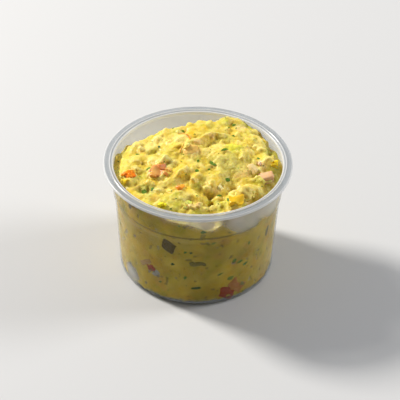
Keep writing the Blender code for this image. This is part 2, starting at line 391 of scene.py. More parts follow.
# %% The pot's profile
BEAD_RADIUS = RIM_RADIUS - 2.5 * MM
RIM_THICKNESS = 0.9 * MM
COLLAR_TOP_RADIUS = RIM_RADIUS - 3.3 * MM
COLLAR_FOOT_RADIUS = RIM_RADIUS - 3.9 * MM
COLLAR_FOOT = RIM_HEIGHT - 13.0 * MM
BODY_TOP = COLLAR_FOOT - 3.1 * MM
BODY_TOP_RADIUS = RIM_RADIUS - 4.7 * MM
BODY_FOOT_RADIUS = RIM_RADIUS - 6.85 * MM
FOOT_ROUNDING = 2.3 * MM
FOOT_RECESS = 0.9 * MM
FOOT_RING_OUTER = BODY_FOOT_RADIUS - FOOT_ROUNDING
FOOT_RING_INNER = FOOT_RING_OUTER - 2.4 * MM
TURNED_STEPS = 192
AXIS_MERGE = 0.05 * MM
LONGEST_SPAN = 1.2 * MM


def arc(centre_r, centre_z, radius, start, end, pieces):
    turns = [math.radians(start + (end - start) * i / pieces) for i in range(pieces + 1)]
    return [(centre_r + radius * math.cos(t), centre_z + radius * math.sin(t)) for t in turns]


def ridge(radius, height, rise, width):
    """A fine raised ring on the rim."""
    return [
        (radius - width, height),
        (radius - width * 0.5, height + rise * 0.75),
        (radius, height + rise),
        (radius + width * 0.5, height + rise * 0.75),
        (radius + width, height),
    ]


def pot_profile():
    """The whole section, from the middle of the floor over the rim to the middle underneath."""
    mouth = COLLAR_TOP_RADIUS - WALL
    edge = 0.4 * MM
    floor_top = FOOT_RECESS + WALL
    points = [(0.0, floor_top), (12.0 * MM, floor_top), (FOOT_RING_INNER - 0.8 * MM, floor_top)]
    points.append((FOOT_RING_INNER + 0.4 * MM, WALL))
    points += arc(FOOT_RING_OUTER, FOOT_ROUNDING, FOOT_ROUNDING - WALL, -90, 0, 8)
    points.append((BODY_TOP_RADIUS - WALL - 0.05 * MM, BODY_TOP - 0.7 * MM))
    points.append((BODY_TOP_RADIUS - WALL + 0.08 * MM, BODY_TOP + 0.2 * MM))
    points.append((COLLAR_FOOT_RADIUS - WALL - 0.08 * MM, COLLAR_FOOT - 0.4 * MM))
    points.append((COLLAR_FOOT_RADIUS - WALL, COLLAR_FOOT + 0.3 * MM))
    points += arc(mouth + edge, RIM_HEIGHT - edge, edge, 180, 90, 6)
    points += ridge(BEAD_RADIUS, RIM_HEIGHT, BEAD_RISE, 0.3 * MM)
    points.append((RIM_RADIUS - 1.1 * MM, RIM_HEIGHT - 0.06 * MM))
    points += arc(RIM_RADIUS - edge, RIM_HEIGHT - edge, edge, 80, 0, 6)
    points += arc(RIM_RADIUS - edge, RIM_HEIGHT - RIM_THICKNESS, edge, 0, -90, 5)
    points.append((RIM_RADIUS - 0.9 * MM, RIM_HEIGHT - RIM_THICKNESS))
    points += arc(
        COLLAR_TOP_RADIUS + edge, RIM_HEIGHT - RIM_THICKNESS - edge, edge, 90, 180, 5
    )
    points.append((COLLAR_FOOT_RADIUS, COLLAR_FOOT + 0.3 * MM))
    points.append((COLLAR_FOOT_RADIUS - 0.08 * MM, COLLAR_FOOT - 0.4 * MM))
    points.append((BODY_TOP_RADIUS + 0.08 * MM, BODY_TOP + 0.2 * MM))
    points.append((BODY_TOP_RADIUS - 0.05 * MM, BODY_TOP - 0.7 * MM))
    points += arc(FOOT_RING_OUTER, FOOT_ROUNDING, FOOT_ROUNDING, 0, -90, 10)
    points.append((FOOT_RING_INNER, 0.0))
    points.append((FOOT_RING_INNER - 1.0 * MM, FOOT_RECESS))
    points += [(12.0 * MM, FOOT_RECESS), (0.0, FOOT_RECESS)]
    return points


def long_spans_divided(points, span):
    """The same section with its long straight runs divided, so that the wall can be shaded."""
    made = [points[0]]
    for (r0, z0), (r1, z1) in zip(points, points[1:]):
        pieces = max(1, math.ceil(math.hypot(r1 - r0, z1 - z0) / span))
        for k in range(1, pieces + 1):
            made.append((r0 + (r1 - r0) * k / pieces, z0 + (z1 - z0) * k / pieces))
    return made


def make_pot():
    profile = long_spans_divided(pot_profile(), LONGEST_SPAN)
    mesh = bpy.data.meshes.new("pot_profile")
    edges = [(i, i + 1) for i in range(len(profile) - 1)]
    mesh.from_pydata([(r, 0.0, z) for r, z in profile], edges, [])
    obj = bpy.data.objects.new("clear_pot", mesh)
    bpy.context.scene.collection.objects.link(obj)
    turn = obj.modifiers.new("turn", "SCREW")
    turn.steps = TURNED_STEPS
    turn.render_steps = TURNED_STEPS
    turn.use_merge_vertices = True
    turn.merge_threshold = AXIS_MERGE
    turn.use_smooth_shade = True
    graph = bpy.context.evaluated_depsgraph_get()
    turned = bpy.data.meshes.new_from_object(obj.evaluated_get(graph))
    obj.modifiers.clear()
    obj.data = turned
    turned.name = "clear_pot"
    return obj


pot = make_pot()
print("pot:", len(pot.data.polygons), "faces")

# %% [markdown]
# ## The mash
#
# Mashed avocado is a paste full of soft lumps from a grain of rice to a pea in size. Pushing a
# smooth surface about with noise gives hills, not lumps with creases between them. So the heap is
# built the way the real one is: a smooth core, with hundreds of squashed balls pressed into its
# top. A voxel remesh fuses them into one skin, and the creases stay where they meet.

# %% The lumps on top
LUMP_SEED = 7
TOP_LUMPS = 500
VOXEL = 0.48 * MM
INTO_WALL = 0.08 * MM


def random_turn(rng, tilt):
    """A turn to any side, with at most this tilt."""
    tilts = [rng.uniform(-tilt, tilt) for _ in range(2)]
    return np.array(Euler([*tilts, rng.uniform(0, 2 * math.pi)]).to_matrix())


# The colours of the lumps, from the mash's own yellow to lime, cream, ripe yellow and pink.
LUMP_COLOURS = (
    ((0.83, 0.60, 0.070), 34),
    ((0.78, 0.64, 0.110), 20),
    ((0.91, 0.74, 0.210), 26),
    ((0.62, 0.57, 0.060), 14),
    ((0.88, 0.56, 0.030), 7),
    ((0.84, 0.55, 0.190), 6),
)


def lump_colour(rng):
    total = sum(share for _, share in LUMP_COLOURS)
    pick = rng.uniform(0, total)
    for colour, share in LUMP_COLOURS:
        pick -= share
        if pick <= 0:
            break
    shade = rng.uniform(0.88, 1.08)
    return tuple(c * shade for c in colour)


def scatter_lumps():
    """Centre, size and colour of each lump on top. They lie close in some places, thin in others."""
    rng = random.Random(LUMP_SEED)
    lumps = []
    while len(lumps) < TOP_LUMPS:
        turn = rng.uniform(0, 2 * math.pi)
        out = 33.4 * MM * math.sqrt(rng.random())
        x, y = out * math.cos(turn), out * math.sin(turn)
        crowd = noise(np.array([[x, y, 0.0]]), 6.0 * MM, 9)[0]
        if rng.random() > 0.55 + 0.9 * crowd:
            continue
        size = (0.6 + 1.9 * rng.random() ** 2.6) * MM
        z = float(shaped_height(x, y)) - 0.25 * MM - rng.uniform(0.10, 0.62) * size
        lumps.append((x, y, z, size, lump_colour(rng)))
    return lumps


def lumps_round_pieces():
    """Small lumps that overlap the edges of the large pieces, so that these look mixed in."""
    rng = random.Random(LUMP_SEED + 5)
    lumps = []
    for name in CHUNK_NODES:
        low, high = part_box(name)
        middle = (low + high) / 2
        for k in range(13):
            turn = 2 * math.pi * (k + rng.uniform(-0.3, 0.3)) / 13
            x = middle.x + math.cos(turn) * (high.x - low.x) * rng.uniform(0.42, 0.54)
            y = middle.y + math.sin(turn) * (high.y - low.y) * rng.uniform(0.42, 0.54)
            size = rng.uniform(0.6, 1.25) * MM
            z = middle.z + rng.uniform(-0.1, 0.35) * (high.z - low.z) / 2
            lumps.append((x, y, z, size, lump_colour(rng)))
    return lumps


# A smear that was left standing on the wall above the heap: angle, height and size.
SMEARS = ((169.0, 46.2, 1.0), (169.6, 44.6, 1.3), (168.0, 43.0, 1.5), (171.0, 47.2, 0.7))


def smear_lumps():
    lumps = []
    for angle, z, size in SMEARS:
        turn = math.radians(angle)
        out = float(wall_radius(z * MM)) - 0.35 * size * MM
        place = (out * math.cos(turn), out * math.sin(turn), z * MM)
        lumps.append((*place, size * MM, LUMP_COLOURS[2][0]))
    return lumps


top_lumps = scatter_lumps() + lumps_round_pieces() + smear_lumps()


def lumps_mesh(lumps):
    """The lumps as squashed, torn balls in one mesh."""
    rng = random.Random(LUMP_SEED + 1)
    heap = Heap()
    for x, y, z, size, colour in lumps:
        shape, sides = BALL_SMALL if size < 0.8 * MM else BALL_MIDDLE
        stretch = np.array([rng.uniform(0.9, 1.8), rng.uniform(0.6, 1.1), rng.uniform(0.45, 0.8)])
        place = np.array([x, y, z])
        made = (shape * stretch * size) @ random_turn(rng, 0.7).T
        torn = 0.52 * noise(made + place, 0.9 * size, 3) + 0.34 * noise(made + place, 0.9 * MM, 4)
        heap.add(made * (1.0 + torn)[:, None] + place, sides)
    return heap


print("lumps on top:", len(top_lumps))

# %% The core, and the pot's inside that it is pressed against
FLOOR_TOP = FOOT_RECESS + WALL


def press_into_pot(points, into):
    """Moves what lies outside the pot's inner face back onto it, or just into the wall."""
    points = points.copy()
    out = np.hypot(points[:, 0], points[:, 1])
    limit = wall_radius(points[:, 2]) + into
    scale = np.where(out > limit, limit / np.maximum(out, TINY), 1.0)
    points[:, :2] *= scale[:, None]
    out = out * scale
    low = (out > FOOT_RING_OUTER) & (points[:, 2] < FOOT_ROUNDING)
    over = np.hypot(out - FOOT_RING_OUTER, points[:, 2] - FOOT_ROUNDING)
    corner = FOOT_ROUNDING - WALL + into
    tuck = np.where(low & (over > corner), corner / np.maximum(over, TINY), 1.0)
    fresh = FOOT_RING_OUTER + (out - FOOT_RING_OUTER) * tuck
    points[:, :2] *= (fresh / np.maximum(out, TINY))[:, None]
    points[:, 2] = FOOT_ROUNDING + (points[:, 2] - FOOT_ROUNDING) * tuck
    floor = np.where(out < FOOT_RING_INNER - 0.8 * MM, FLOOR_TOP, WALL) - into
    points[:, 2] = np.maximum(points[:, 2], floor)
    return points


def core_mesh():
    """A closed solid of the heap's broad shape, a little oversize at the wall."""
    heap = Heap()
    steps, rings = 240, 80
    turns = np.linspace(0, 2 * math.pi, steps, endpoint=False)
    rows = []
    spare = 0.25 * MM
    for share in np.linspace(0.05, 1.0, 12):
        rows.append((share * (FOOT_RING_OUTER + 0.4 * MM), np.full(steps, FLOOR_TOP - spare)))
    rows = [
        np.stack([r * np.cos(turns), r * np.sin(turns), z], axis=1) for r, z in rows
    ]
    edge = np.stack([np.cos(turns), np.sin(turns)], axis=1)
    top_z = shaped_height(edge[:, 0] * 33.0 * MM, edge[:, 1] * 33.0 * MM) - 0.1 * MM
    for share in np.linspace(0.0, 1.0, 34):
        z = 1.2 * MM + (top_z - 1.2 * MM) * share
        radius = wall_radius(z) + spare
        radius = np.where(z < 3 * MM, radius - (3 * MM - z) * 0.7, radius)
        rows.append(np.stack([edge[:, 0] * radius, edge[:, 1] * radius, z], axis=1))
    for k in range(1, rings + 1):
        radius = 33.2 * MM * (1 - k / (rings + 1))
        x, y = edge[:, 0] * radius, edge[:, 1] * radius
        rows.append(np.stack([x, y, shaped_height(x, y) - 0.25 * MM], axis=1))
    points = np.concatenate(rows)
    faces = []
    for row in range(len(rows) - 1):
        for i in range(steps):
            j = (i + 1) % steps
            a, b = row * steps, (row + 1) * steps
            faces.append((a + i, a + j, b + j, b + i))
    faces.append(tuple(reversed(range(steps))))
    faces.append(tuple((len(rows) - 1) * steps + i for i in range(steps)))
    heap.add(points, faces)
    return heap


print("floor of the pot in mm:", round(FLOOR_TOP / MM, 1))

# %% Fuse, soften and press
SIDE_POCKETS = (
    # angle, height, width, tall, depth, tilt: places where air kept the mash off the wall
    (-146.5, 5.6, 8.0, 8.0, 0.9, 0.1),
    (-101.0, 1.6, 4.4, 1.9, 1.2, 0.0),
    (-142.0, 42.0, 1.4, 2.6, 0.6, 0.0),
    (-120.5, 13.0, 3.8, 1.8, 0.7, -0.6),
)
RANDOM_POCKETS = 24


def side_pockets():
    """The air pockets that are listed, and more all round."""
    rng = random.Random(LUMP_SEED + 2)
    pockets = [
        (math.radians(a), z * MM, w * MM, h * MM, d * MM, tilt)
        for a, z, w, h, d, tilt in SIDE_POCKETS
    ]
    for _ in range(RANDOM_POCKETS):
        width = rng.uniform(0.7, 2.2) * MM
        pockets.append((
            rng.uniform(-math.pi, math.pi),
            rng.uniform(2.0, 44.0) * MM,
            width,
            width * rng.uniform(0.6, 1.8),
            rng.uniform(0.12, 0.35) * MM,
            rng.uniform(-0.8, 0.8),
        ))
    return pockets


def pocket_depths(points):
    """How far inwards each point of the side is drawn by the air pockets."""
    turn = np.arctan2(points[:, 1], points[:, 0])
    wobble = 0.25 * noise(points, 1.2 * MM, 41)
    depth = np.zeros(len(points))
    for angle, height, width, tall, deep, tilt in side_pockets():
        across = (turn - angle + math.pi) % (2 * math.pi) - math.pi
        u = across * 32 * MM
        v = points[:, 2] - height
        u, v = u + tilt * v, v - tilt * u
        near = np.hypot(u / (width / 2), v / (tall / 2)) + wobble
        depth = np.maximum(depth, deep * np.clip((1.15 - near) / 0.35, 0, 1))
    return depth


def fused_mesh():
    """The core and the lumps, fused by a voxel remesh and softened a little."""
    heap = core_mesh()
    lumps = lumps_mesh(top_lumps)
    heap.add(np.concatenate(lumps.points), lumps.faces)
    obj = heap.make("mash_fusing")
    remesh = obj.modifiers.new("fuse", "REMESH")
    remesh.mode = "VOXEL"
    remesh.voxel_size = VOXEL
    soften = obj.modifiers.new("soften", "SMOOTH")
    soften.factor = 0.5
    soften.iterations = 5
    graph = bpy.context.evaluated_depsgraph_get()
    mesh = bpy.data.meshes.new_from_object(obj.evaluated_get(graph))
    bpy.data.objects.remove(obj)
    return mesh


def edges_of(mesh):
    edges = np.empty(len(mesh.edges) * 2, np.int32)
    mesh.edges.foreach_get("vertices", edges)
    return edges.reshape(-1, 2)


def neighbour_mean(points, edges):
    """The mean place of each point's neighbours."""
    total = np.zeros_like(points)
    count = np.zeros(len(points))
    for a, b in ((0, 1), (1, 0)):
        for k in range(3):
            total[:, k] += np.bincount(edges[:, a], points[edges[:, b], k], len(points))
        count += np.bincount(edges[:, a], minlength=len(points))
    return total / np.maximum(count, 1)[:, None]


def make_mash():
    mesh = fused_mesh()
    points = points_of(mesh)
    normals = normals_of(mesh)
    crumbs = 0.26 * noise(points, 2.2 * MM, 10) + 0.23 * noise(points, 1.15 * MM, 11)
    crumbs += 0.15 * noise(points, 0.65 * MM, 12)
    points += normals * (crumbs * MM)[:, None]
    out = np.hypot(points[:, 0], points[:, 1])
    pressed = np.clip((out - wall_radius(points[:, 2]) + 0.25 * MM) / (0.2 * MM), 0, 1)
    depth = pocket_depths(points) * pressed
    # The shoulder's bend mask also sets a line of painted shade in the mash material.
    bend = np.exp(-(((points[:, 2] - COLLAR_FOOT) / (0.45 * MM)) ** 2)) * pressed
    bend *= np.clip(0.75 + 0.6 * noise(points, 7.0 * MM, 14), 0.15, 1.0)
    depth = np.maximum(depth, 0.16 * MM * bend)
    points = press_into_pot(points, INTO_WALL)
    out = np.hypot(points[:, 0], points[:, 1])
    points[:, :2] *= (1 - depth / np.maximum(out, TINY))[:, None]
    set_points(mesh, points)
    # How deep each point lies among its neighbours. The mash material paints shade into the creases
    # and light onto the crowns from it.
    edges = edges_of(mesh)
    mean = points
    for _ in range(7):
        mean = neighbour_mean(mean, edges)
    cavity = ((mean - points) * normals_of(mesh)).sum(1) / (0.32 * MM)
    pressed = pressed * (depth < 0.12 * MM)
    for name, values in (
        ("cavity", cavity),
        ("pressed", pressed),
        ("bend", bend),
        ("pocket", np.clip(depth / (0.5 * MM), 0, 1) * (bend < 0.3)),
    ):
        layer = mesh.attributes.new(name, "FLOAT", "POINT")
        layer.data.foreach_set("value", values.astype(np.float32))
    mesh.name = "guacamole_mash"
    return add_object("guacamole_mash", mesh)


mash = make_mash()
print("mash:", len(mash.data.polygons), "faces")

# %% [markdown]
# ## Colour for each lump
#
# Avocado flesh is green near the skin and yellow near the stone, so mash is a mix of lumps of
# slightly different colour. The remesh drops colours, so they are given back: each point takes the
# colour of the lump nearest to it. On the side, where there are no lumps, flat patches stand for
# lumps that were squeezed against the wall.

# %% Paint the lumps
SIDE_PATCHES = 1500
COLOUR_SOFTENING = 4


def patch_list():
    """Flat patches of colour all round the side and under the floor."""
    rng = random.Random(LUMP_SEED + 3)
    patches = []
    for _ in range(SIDE_PATCHES):
        z = rng.uniform(0, RIM_HEIGHT)
        turn = rng.uniform(0, 2 * math.pi)
        radius = float(wall_radius(z))
        size = (1.2 + 3.0 * rng.random() ** 2) * MM
        place = (radius * math.cos(turn), radius * math.sin(turn), z)
        patches.append((*place, size, lump_colour(rng)))
    return patches


# Soft stains and painted shade: place, reach and colour. The juice of a piece colours the mash next to
# it, and two darker patches set in the deepest hollows of the folds are painted shade.
STAINS_AND_HOLLOW_SHADE = (
    ((-1.6, 3.4, 51.0), 4.2, (0.86, 0.58, 0.20)),
    ((-6.8, 11.8, 51.5), 5.0, (0.96, 0.80, 0.27)),
    ((1.5, 11.2, 52.0), 3.4, (0.92, 0.68, 0.09)),
    ((14.0, 6.6, 51.0), 4.4, (0.76, 0.68, 0.06)),
    ((12.0, -1.0, 49.5), 7.0, (0.74, 0.66, 0.15)),
    ((-17.1, 5.0, 49.5), 3.4, (0.62, 0.60, 0.08)),
    ((-19.5, -16.4, 46.5), 4.2, (0.58, 0.60, 0.16)),
    ((-14.9, -6.6, 48.0), 3.6, (0.84, 0.44, 0.17)),
    # Painted shade in the hollow of a fold.
    ((13.0, -12.4, 46.0), 3.0, (0.52, 0.40, 0.12)),
    ((24.8, 1.0, 47.0), 2.6, (0.82, 0.52, 0.26)),
    ((28.6, 1.6, 48.0), 3.0, (0.94, 0.72, 0.10)),
    # Painted shade in the hollow of a fold.
    ((27.4, 9.2, 47.5), 2.8, (0.44, 0.44, 0.06)),
    ((26.6, -10.4, 44.5), 3.0, (0.76, 0.50, 0.03)),
    ((-3.0, -21.4, 43.5), 3.2, (0.76, 0.48, 0.25)),
    ((7.4, -20.4, 44.0), 2.6, (0.52, 0.55, 0.11)),
    ((-27.6, -12.4, 47.0), 2.6, (0.90, 0.70, 0.05)),
    ((-14.0, -25.4, 46.0), 2.6, (0.86, 0.76, 0.04)),
    ((17.0, 23.4, 49.5), 3.4, (0.90, 0.68, 0.30)),
    ((15.6, -28.0, 43.0), 5.0, (0.70, 0.42, 0.24)),
    ((-16.5, -27.2, 31.5), 4.2, (0.88, 0.74, 0.36)),
    ((-6.0, -31.0, 33.5), 5.5, (0.80, 0.68, 0.24)),
    ((8.0, -31.0, 41.0), 3.0, (0.95, 0.72, 0.05)),
    ((14.0, -28.0, 26.0), 6.0, (0.80, 0.66, 0.26)),
)


def stain_and_shade(points, colours):
    """Mixes each stain and each patch of painted shade into the colours of the points that it reaches.
    """
    bent = points + noise_vectors(points, 2.0 * MM, 71) * 0.8 * MM
    for place, reach, colour in STAINS_AND_HOLLOW_SHADE:
        apart = np.linalg.norm(bent - np.array(place) * MM, axis=1) / (reach * MM)
        share = 0.8 * np.clip((1.0 - apart) / 0.5, 0, 1)[:, None]
        colours[:, :3] = colours[:, :3] * (1 - share) + np.array(colour) * share


def paint_lumps(obj):
    lumps = top_lumps + patch_list()
    tree = KDTree(len(lumps))
    for i, lump in enumerate(lumps):
        tree.insert(lump[:3], i)
    tree.balance()
    mesh = obj.data
    points = points_of(mesh)
    warped = points + noise_vectors(points, 1.1 * MM, 61) * 0.45 * MM
    colours = np.ones((len(points), 4), np.float32)
    for i, place in enumerate(warped):
        best = min(tree.find_n(place, 4), key=lambda found: found[2] / lumps[found[1]][3])
        colours[i, :3] = lumps[best[1]][4]
    edges = edges_of(mesh)
    for _ in range(COLOUR_SOFTENING):
        colours[:, :3] = neighbour_mean(colours[:, :3].astype(float), edges)
    stain_and_shade(points, colours)
    layer = mesh.attributes.new("tint", "FLOAT_COLOR", "POINT")
    layer.data.foreach_set("color", colours.ravel())


paint_lumps(mash)
mash_skin = BVHTree.FromObject(mash, bpy.context.evaluated_depsgraph_get())
print("lumps painted:", len(top_lumps) + SIDE_PATCHES)

# %% [markdown]
# ## Where the mash touches the wall
#
# Milky plastic looks much clearer where something wet lies against it, because less light is lost
# at its inner face. Each point of the pot looks inwards for the mash, and keeps the answer as a
# mask for the material.

# %% Mark the contact


def mark_contact(obj):
    mesh = obj.data
    points = points_of(mesh)
    touch = np.zeros(len(points), np.float32)
    for i, (x, y, z) in enumerate(points):
        reach = math.hypot(x, y)
        if reach < FOOT_RING_OUTER or z > RIM_HEIGHT - 0.9 * MM:
            touch[i] = float(reach < FOOT_RING_OUTER and z < FOOT_ROUNDING)
            continue
        outwards = Vector((x / reach, y / reach, 0))
        height = max(z, FOOT_ROUNDING)
        start = outwards * RIM_RADIUS * 1.2 + Vector((0, 0, height))
        hit = mash_skin.ray_cast(start, -outwards)[0]
        if hit is not None:
            gap = float(wall_radius(height)) - math.hypot(hit.x, hit.y)
            touch[i] = min(1.0, max(0.0, 1.0 - (gap - 0.15 * MM) / (0.5 * MM)))
    for _ in range(2):
        touch = neighbour_mean(np.stack([touch] * 3, axis=1), edges_of(mesh))[:, 0]
    layer = mesh.attributes.new("touch", "FLOAT", "POINT")
    layer.data.foreach_set("value", touch.astype(np.float32))
    print("share of the pot that touches the mash:", round(float(touch.mean()), 2))


mark_contact(pot)

# %% [markdown]
# ## The diced pieces
#
# Tomato, onion and firm avocado were cut with a knife, so each piece starts as a dice with rounded
# edges, and noise takes it out of true. The largest ones stand where the solid model has them.
# Smaller ones lie on top, and some are pressed flat against the wall, where they show as patches.

# %% One diced piece


def diced(size, turns, place, key, wobble=0.13):
    """The points of one dice: its size along X, Y and Z, its turns in degrees, and its middle."""
    shape = DICE[0] * np.array(size)
    shape = shape + noise_vectors(shape + key * 0.013, 0.45 * max(size), key) * wobble * min(size)
    shape = shape + noise_vectors(shape + key * 0.017, 0.9 * MM, key + 5) * 0.10 * MM
    turned = shape @ np.array(Euler([math.radians(t) for t in turns]).to_matrix()).T
    return turned + np.array(place)


def soft_lump(size, turns, place, key, rough):
    """The points of one soft, crumbling lump of avocado."""
    shape = BALL_LARGE[0] * np.array(size) / 2
    grow = 1.0 + rough * noise(shape + key * 0.013, 2.4 * MM, key)
    grow += 0.4 * rough * noise(shape + key * 0.013, 1.0 * MM, key)
    turned = (shape * grow[:, None]) @ np.array(
        Euler([math.radians(t) for t in turns]).to_matrix()
    ).T
    return turned + np.array(place)


def top_at(x, y):
    """The mash's own surface at a place: its point and its normal."""
    hit = mash_skin.ray_cast(Vector((x, y, RAY_START)), Vector((0, 0, -1)))
    return np.array(hit[0]), np.array(hit[1])


def node_place(name):
    """The middle and the size of a node's box."""
    low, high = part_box(name)
    return np.array((low + high) / 2), np.array(high - low)


for chunk in CHUNK_NODES:
    print(chunk, "in mm:", np.round(node_place(chunk)[1] / MM, 1))

# %% Where the pieces lie
# Colour, turns in degrees and roughness of outline of each large piece.
LARGE_PIECES = {
    "avocado_chunk_1": ((0.88, 0.55, 0.13), (0, 0, 0), 0.20),
    "avocado_chunk_2": ((0.76, 0.68, 0.06), (0, 0, 8), 0.26),
    "avocado_chunk_3": ((0.74, 0.56, 0.12), (0, 0, 20), 0.34),
    "onion_dice_1": ((0.74, 0.42, 0.20), (6, -8, 14), 0.10),
    "onion_dice_2": ((0.86, 0.62, 0.26), (10, 14, 40), 0.16),
    "tomato_dice_1": ((0.74, 0.30, 0.085), (4, 8, 12), 0.26),
    "tomato_dice_2": ((0.86, 0.22, 0.012), (12, 4, 24), 0.16),
    "tomato_dice_3": ((0.80, 0.54, 0.17), (8, -8, 30), 0.34),
}

# Each soft tomato dice has this many fragments round it.
FRAGMENTS = 6

# Kind, angle round the pot in degrees, height, width, tall, colour and tilt of each piece that
# is pressed against the wall, in millimetres.
WALL_PIECES = (
    ("tomato", -66.0, 4.8, 6.8, 5.0, (0.38, 0.050, 0.003), 28),
    ("tomato", -58.4, 7.6, 7.4, 4.8, (0.50, 0.17, 0.030), 40),
    ("tomato", -129.6, 17.0, 6.4, 2.2, (0.46, 0.21, 0.06), -38),
    ("tomato", -125.2, 15.4, 3.2, 2.8, (0.38, 0.05, 0.004), -20),
    ("onion", -120.8, 13.6, 3.8, 2.0, (0.42, 0.36, 0.26), -34),
    ("avocado", -52.5, 7.0, 2.4, 2.0, (0.26, 0.24, 0.04), 10),
    # Painted shade: this very dark piece stands in for the shaded hollow of an air pocket behind the
    # wall.
    ("avocado", -109.5, 29.8, 5.4, 4.2, (0.13, 0.085, 0.004), 25),
    ("avocado", -89.0, 22.4, 6.2, 1.9, (0.20, 0.155, 0.012), 5),
    ("avocado", -29.5, 27.4, 1.5, 4.0, (0.16, 0.13, 0.02), 10),
    ("tomato", 38.0, 22.0, 5.0, 3.4, (0.42, 0.07, 0.006), 15),
    ("onion", 74.0, 12.0, 4.6, 3.2, (0.46, 0.38, 0.24), -20),
    ("tomato", 118.0, 27.0, 5.4, 3.6, (0.44, 0.12, 0.02), 40),
    ("avocado", 96.0, 31.0, 4.8, 3.8, (0.12, 0.11, 0.014), 0),
    ("onion", 150.0, 17.0, 5.2, 3.0, (0.50, 0.36, 0.22), 25),
    ("tomato", 176.0, 31.0, 4.2, 3.0, (0.44, 0.16, 0.03), -30),
    ("avocado", 12.0, 10.0, 5.0, 3.4, (0.16, 0.14, 0.02), 10),
)

# Kind, place across the top, size, colour and turns of the small pieces on top.
TOP_PIECES = (
    ("tomato", (-6.6, -15.9), (2.8, 1.6, 1.6), (0.86, 0.25, 0.02), (10, 20, 40)),
    ("avocado", (15.4, -23.0), (5.6, 2.6, 2.6), (0.86, 0.53, 0.024), (14, 0, 8)),
    ("avocado", (30.4, 1.2), (2.6, 2.8, 2.4), (0.86, 0.60, 0.02), (0, 10, 30)),
    ("avocado", (-14.0, -25.3), (3.4, 2.2, 2.2), (0.84, 0.72, 0.03), (0, 10, 30)),
    ("avocado", (-28.6, -12.4), (2.8, 2.0, 2.2), (0.86, 0.62, 0.03), (0, 10, 30)),
    ("onion", (8.6, -14.4), (1.6, 1.8, 2.4), (0.90, 0.74, 0.34), (30, 20, 70)),
    ("onion", (24.6, 1.0), (2.0, 1.6, 1.2), (0.80, 0.50, 0.30), (0, 10, 30)),
)


def wall_piece_points(kind, angle, height, width, tall, tilt, key):
    """A dice set into the side, then pressed flat against the wall."""
    turn = math.radians(angle)
    radius = float(wall_radius(height * MM)) - 0.9 * MM
    size = (width * MM, 3.4 * MM, tall * MM)
    place = (radius * math.cos(turn), radius * math.sin(turn), height * MM)
    flat = diced(size, (0, tilt, 0), (0, 0, 0), key, 0.42)
    flat = flat @ np.array(Matrix.Rotation(turn + math.pi / 2, 3, "Z")).T
    return press_into_pot(flat + np.array(place), INTO_WALL + 0.05 * MM)


def add_fragments(heap, place, box, turns, rough, colour, key):
    """A soft tomato dice falls apart: a low middle, and fragments round it."""
    rng = random.Random(key)
    low = place - np.array([0, 0, 0.12 * box[2]])
    heap.add(diced(box * np.array([0.74, 0.74, 0.80]), turns, low, key, rough), DICE[1], colour)
    for k in range(FRAGMENTS):
        offset = np.array([rng.uniform(-0.46, 0.46), rng.uniform(-0.46, 0.46), rng.uniform(0.1, 0.34)])
        size = box * np.array([rng.uniform(0.2, 0.42), rng.uniform(0.2, 0.42), rng.uniform(0.25, 0.4)])
        shade = np.array(colour) * np.array([1.0, rng.uniform(0.75, 1.3), rng.uniform(0.6, 1.2)])
        spin = [rng.uniform(-40, 40) for _ in range(3)]
        made = diced(size, spin, place + offset * box, key + 100 + k, 0.2)
        heap.add(made, DICE[1], tuple(np.minimum(shade, 0.95)))


def make_pieces():
    """One object for each kind of piece."""
    heaps = {"avocado": Heap(), "tomato": Heap(), "onion": Heap()}
    for key, (name, (colour, turns, rough)) in enumerate(LARGE_PIECES.items()):
        kind = name.split("_")[0]
        place, box = node_place(name)
        if kind == "avocado":
            made = soft_lump(box, turns, place, key, rough)
            heaps[kind].add(made, BALL_LARGE[1], colour)
        elif kind == "onion":
            raised = place + np.array([0, -0.3 * MM, 0.5 * MM])
            heaps[kind].add(diced(box * 0.96, turns, raised, key, rough), DICE[1], colour)
        else:
            add_fragments(heaps[kind], place, box, turns, rough, colour, key)
    for key, (kind, place, size, colour, turns) in enumerate(TOP_PIECES, start=20):
        ground, _ = top_at(place[0] * MM, place[1] * MM)
        ground[2] -= 0.10 * size[2] * MM
        heaps[kind].add(diced(np.array(size) * MM, turns, ground, key, 0.42), DICE[1], colour)
    for key, (kind, angle, height, width, tall, colour, tilt) in enumerate(WALL_PIECES, start=50):
        made = wall_piece_points(kind, angle, height, width, tall, tilt, key)
        heaps[kind].add(made, DICE[1], colour)
    return {kind: heap.make(kind + "_pieces") for kind, heap in heaps.items()}


pieces = make_pieces()
print("pieces:", {kind: len(obj.data.polygons) for kind, obj in pieces.items()})

# %% [markdown]
# ## Chopped leaf and tomato skin
#
# The herb is chopped leaf: thin, flat flakes with torn outlines, a few as long as a grain of rice
# and most no larger than a crumb. Tomato skin comes away as thin curled threads. Both lie on the
# mash, so each is set by a ray down on it, or inwards from the wall.

# %% Flakes
FLAKE_SEED = 91
TOP_FLAKES = 80
WALL_FLAKES = 130
HERB = ((0.075, 0.165, 0.008), (0.11, 0.19, 0.010), (0.045, 0.085, 0.005), (0.17, 0.23, 0.022))
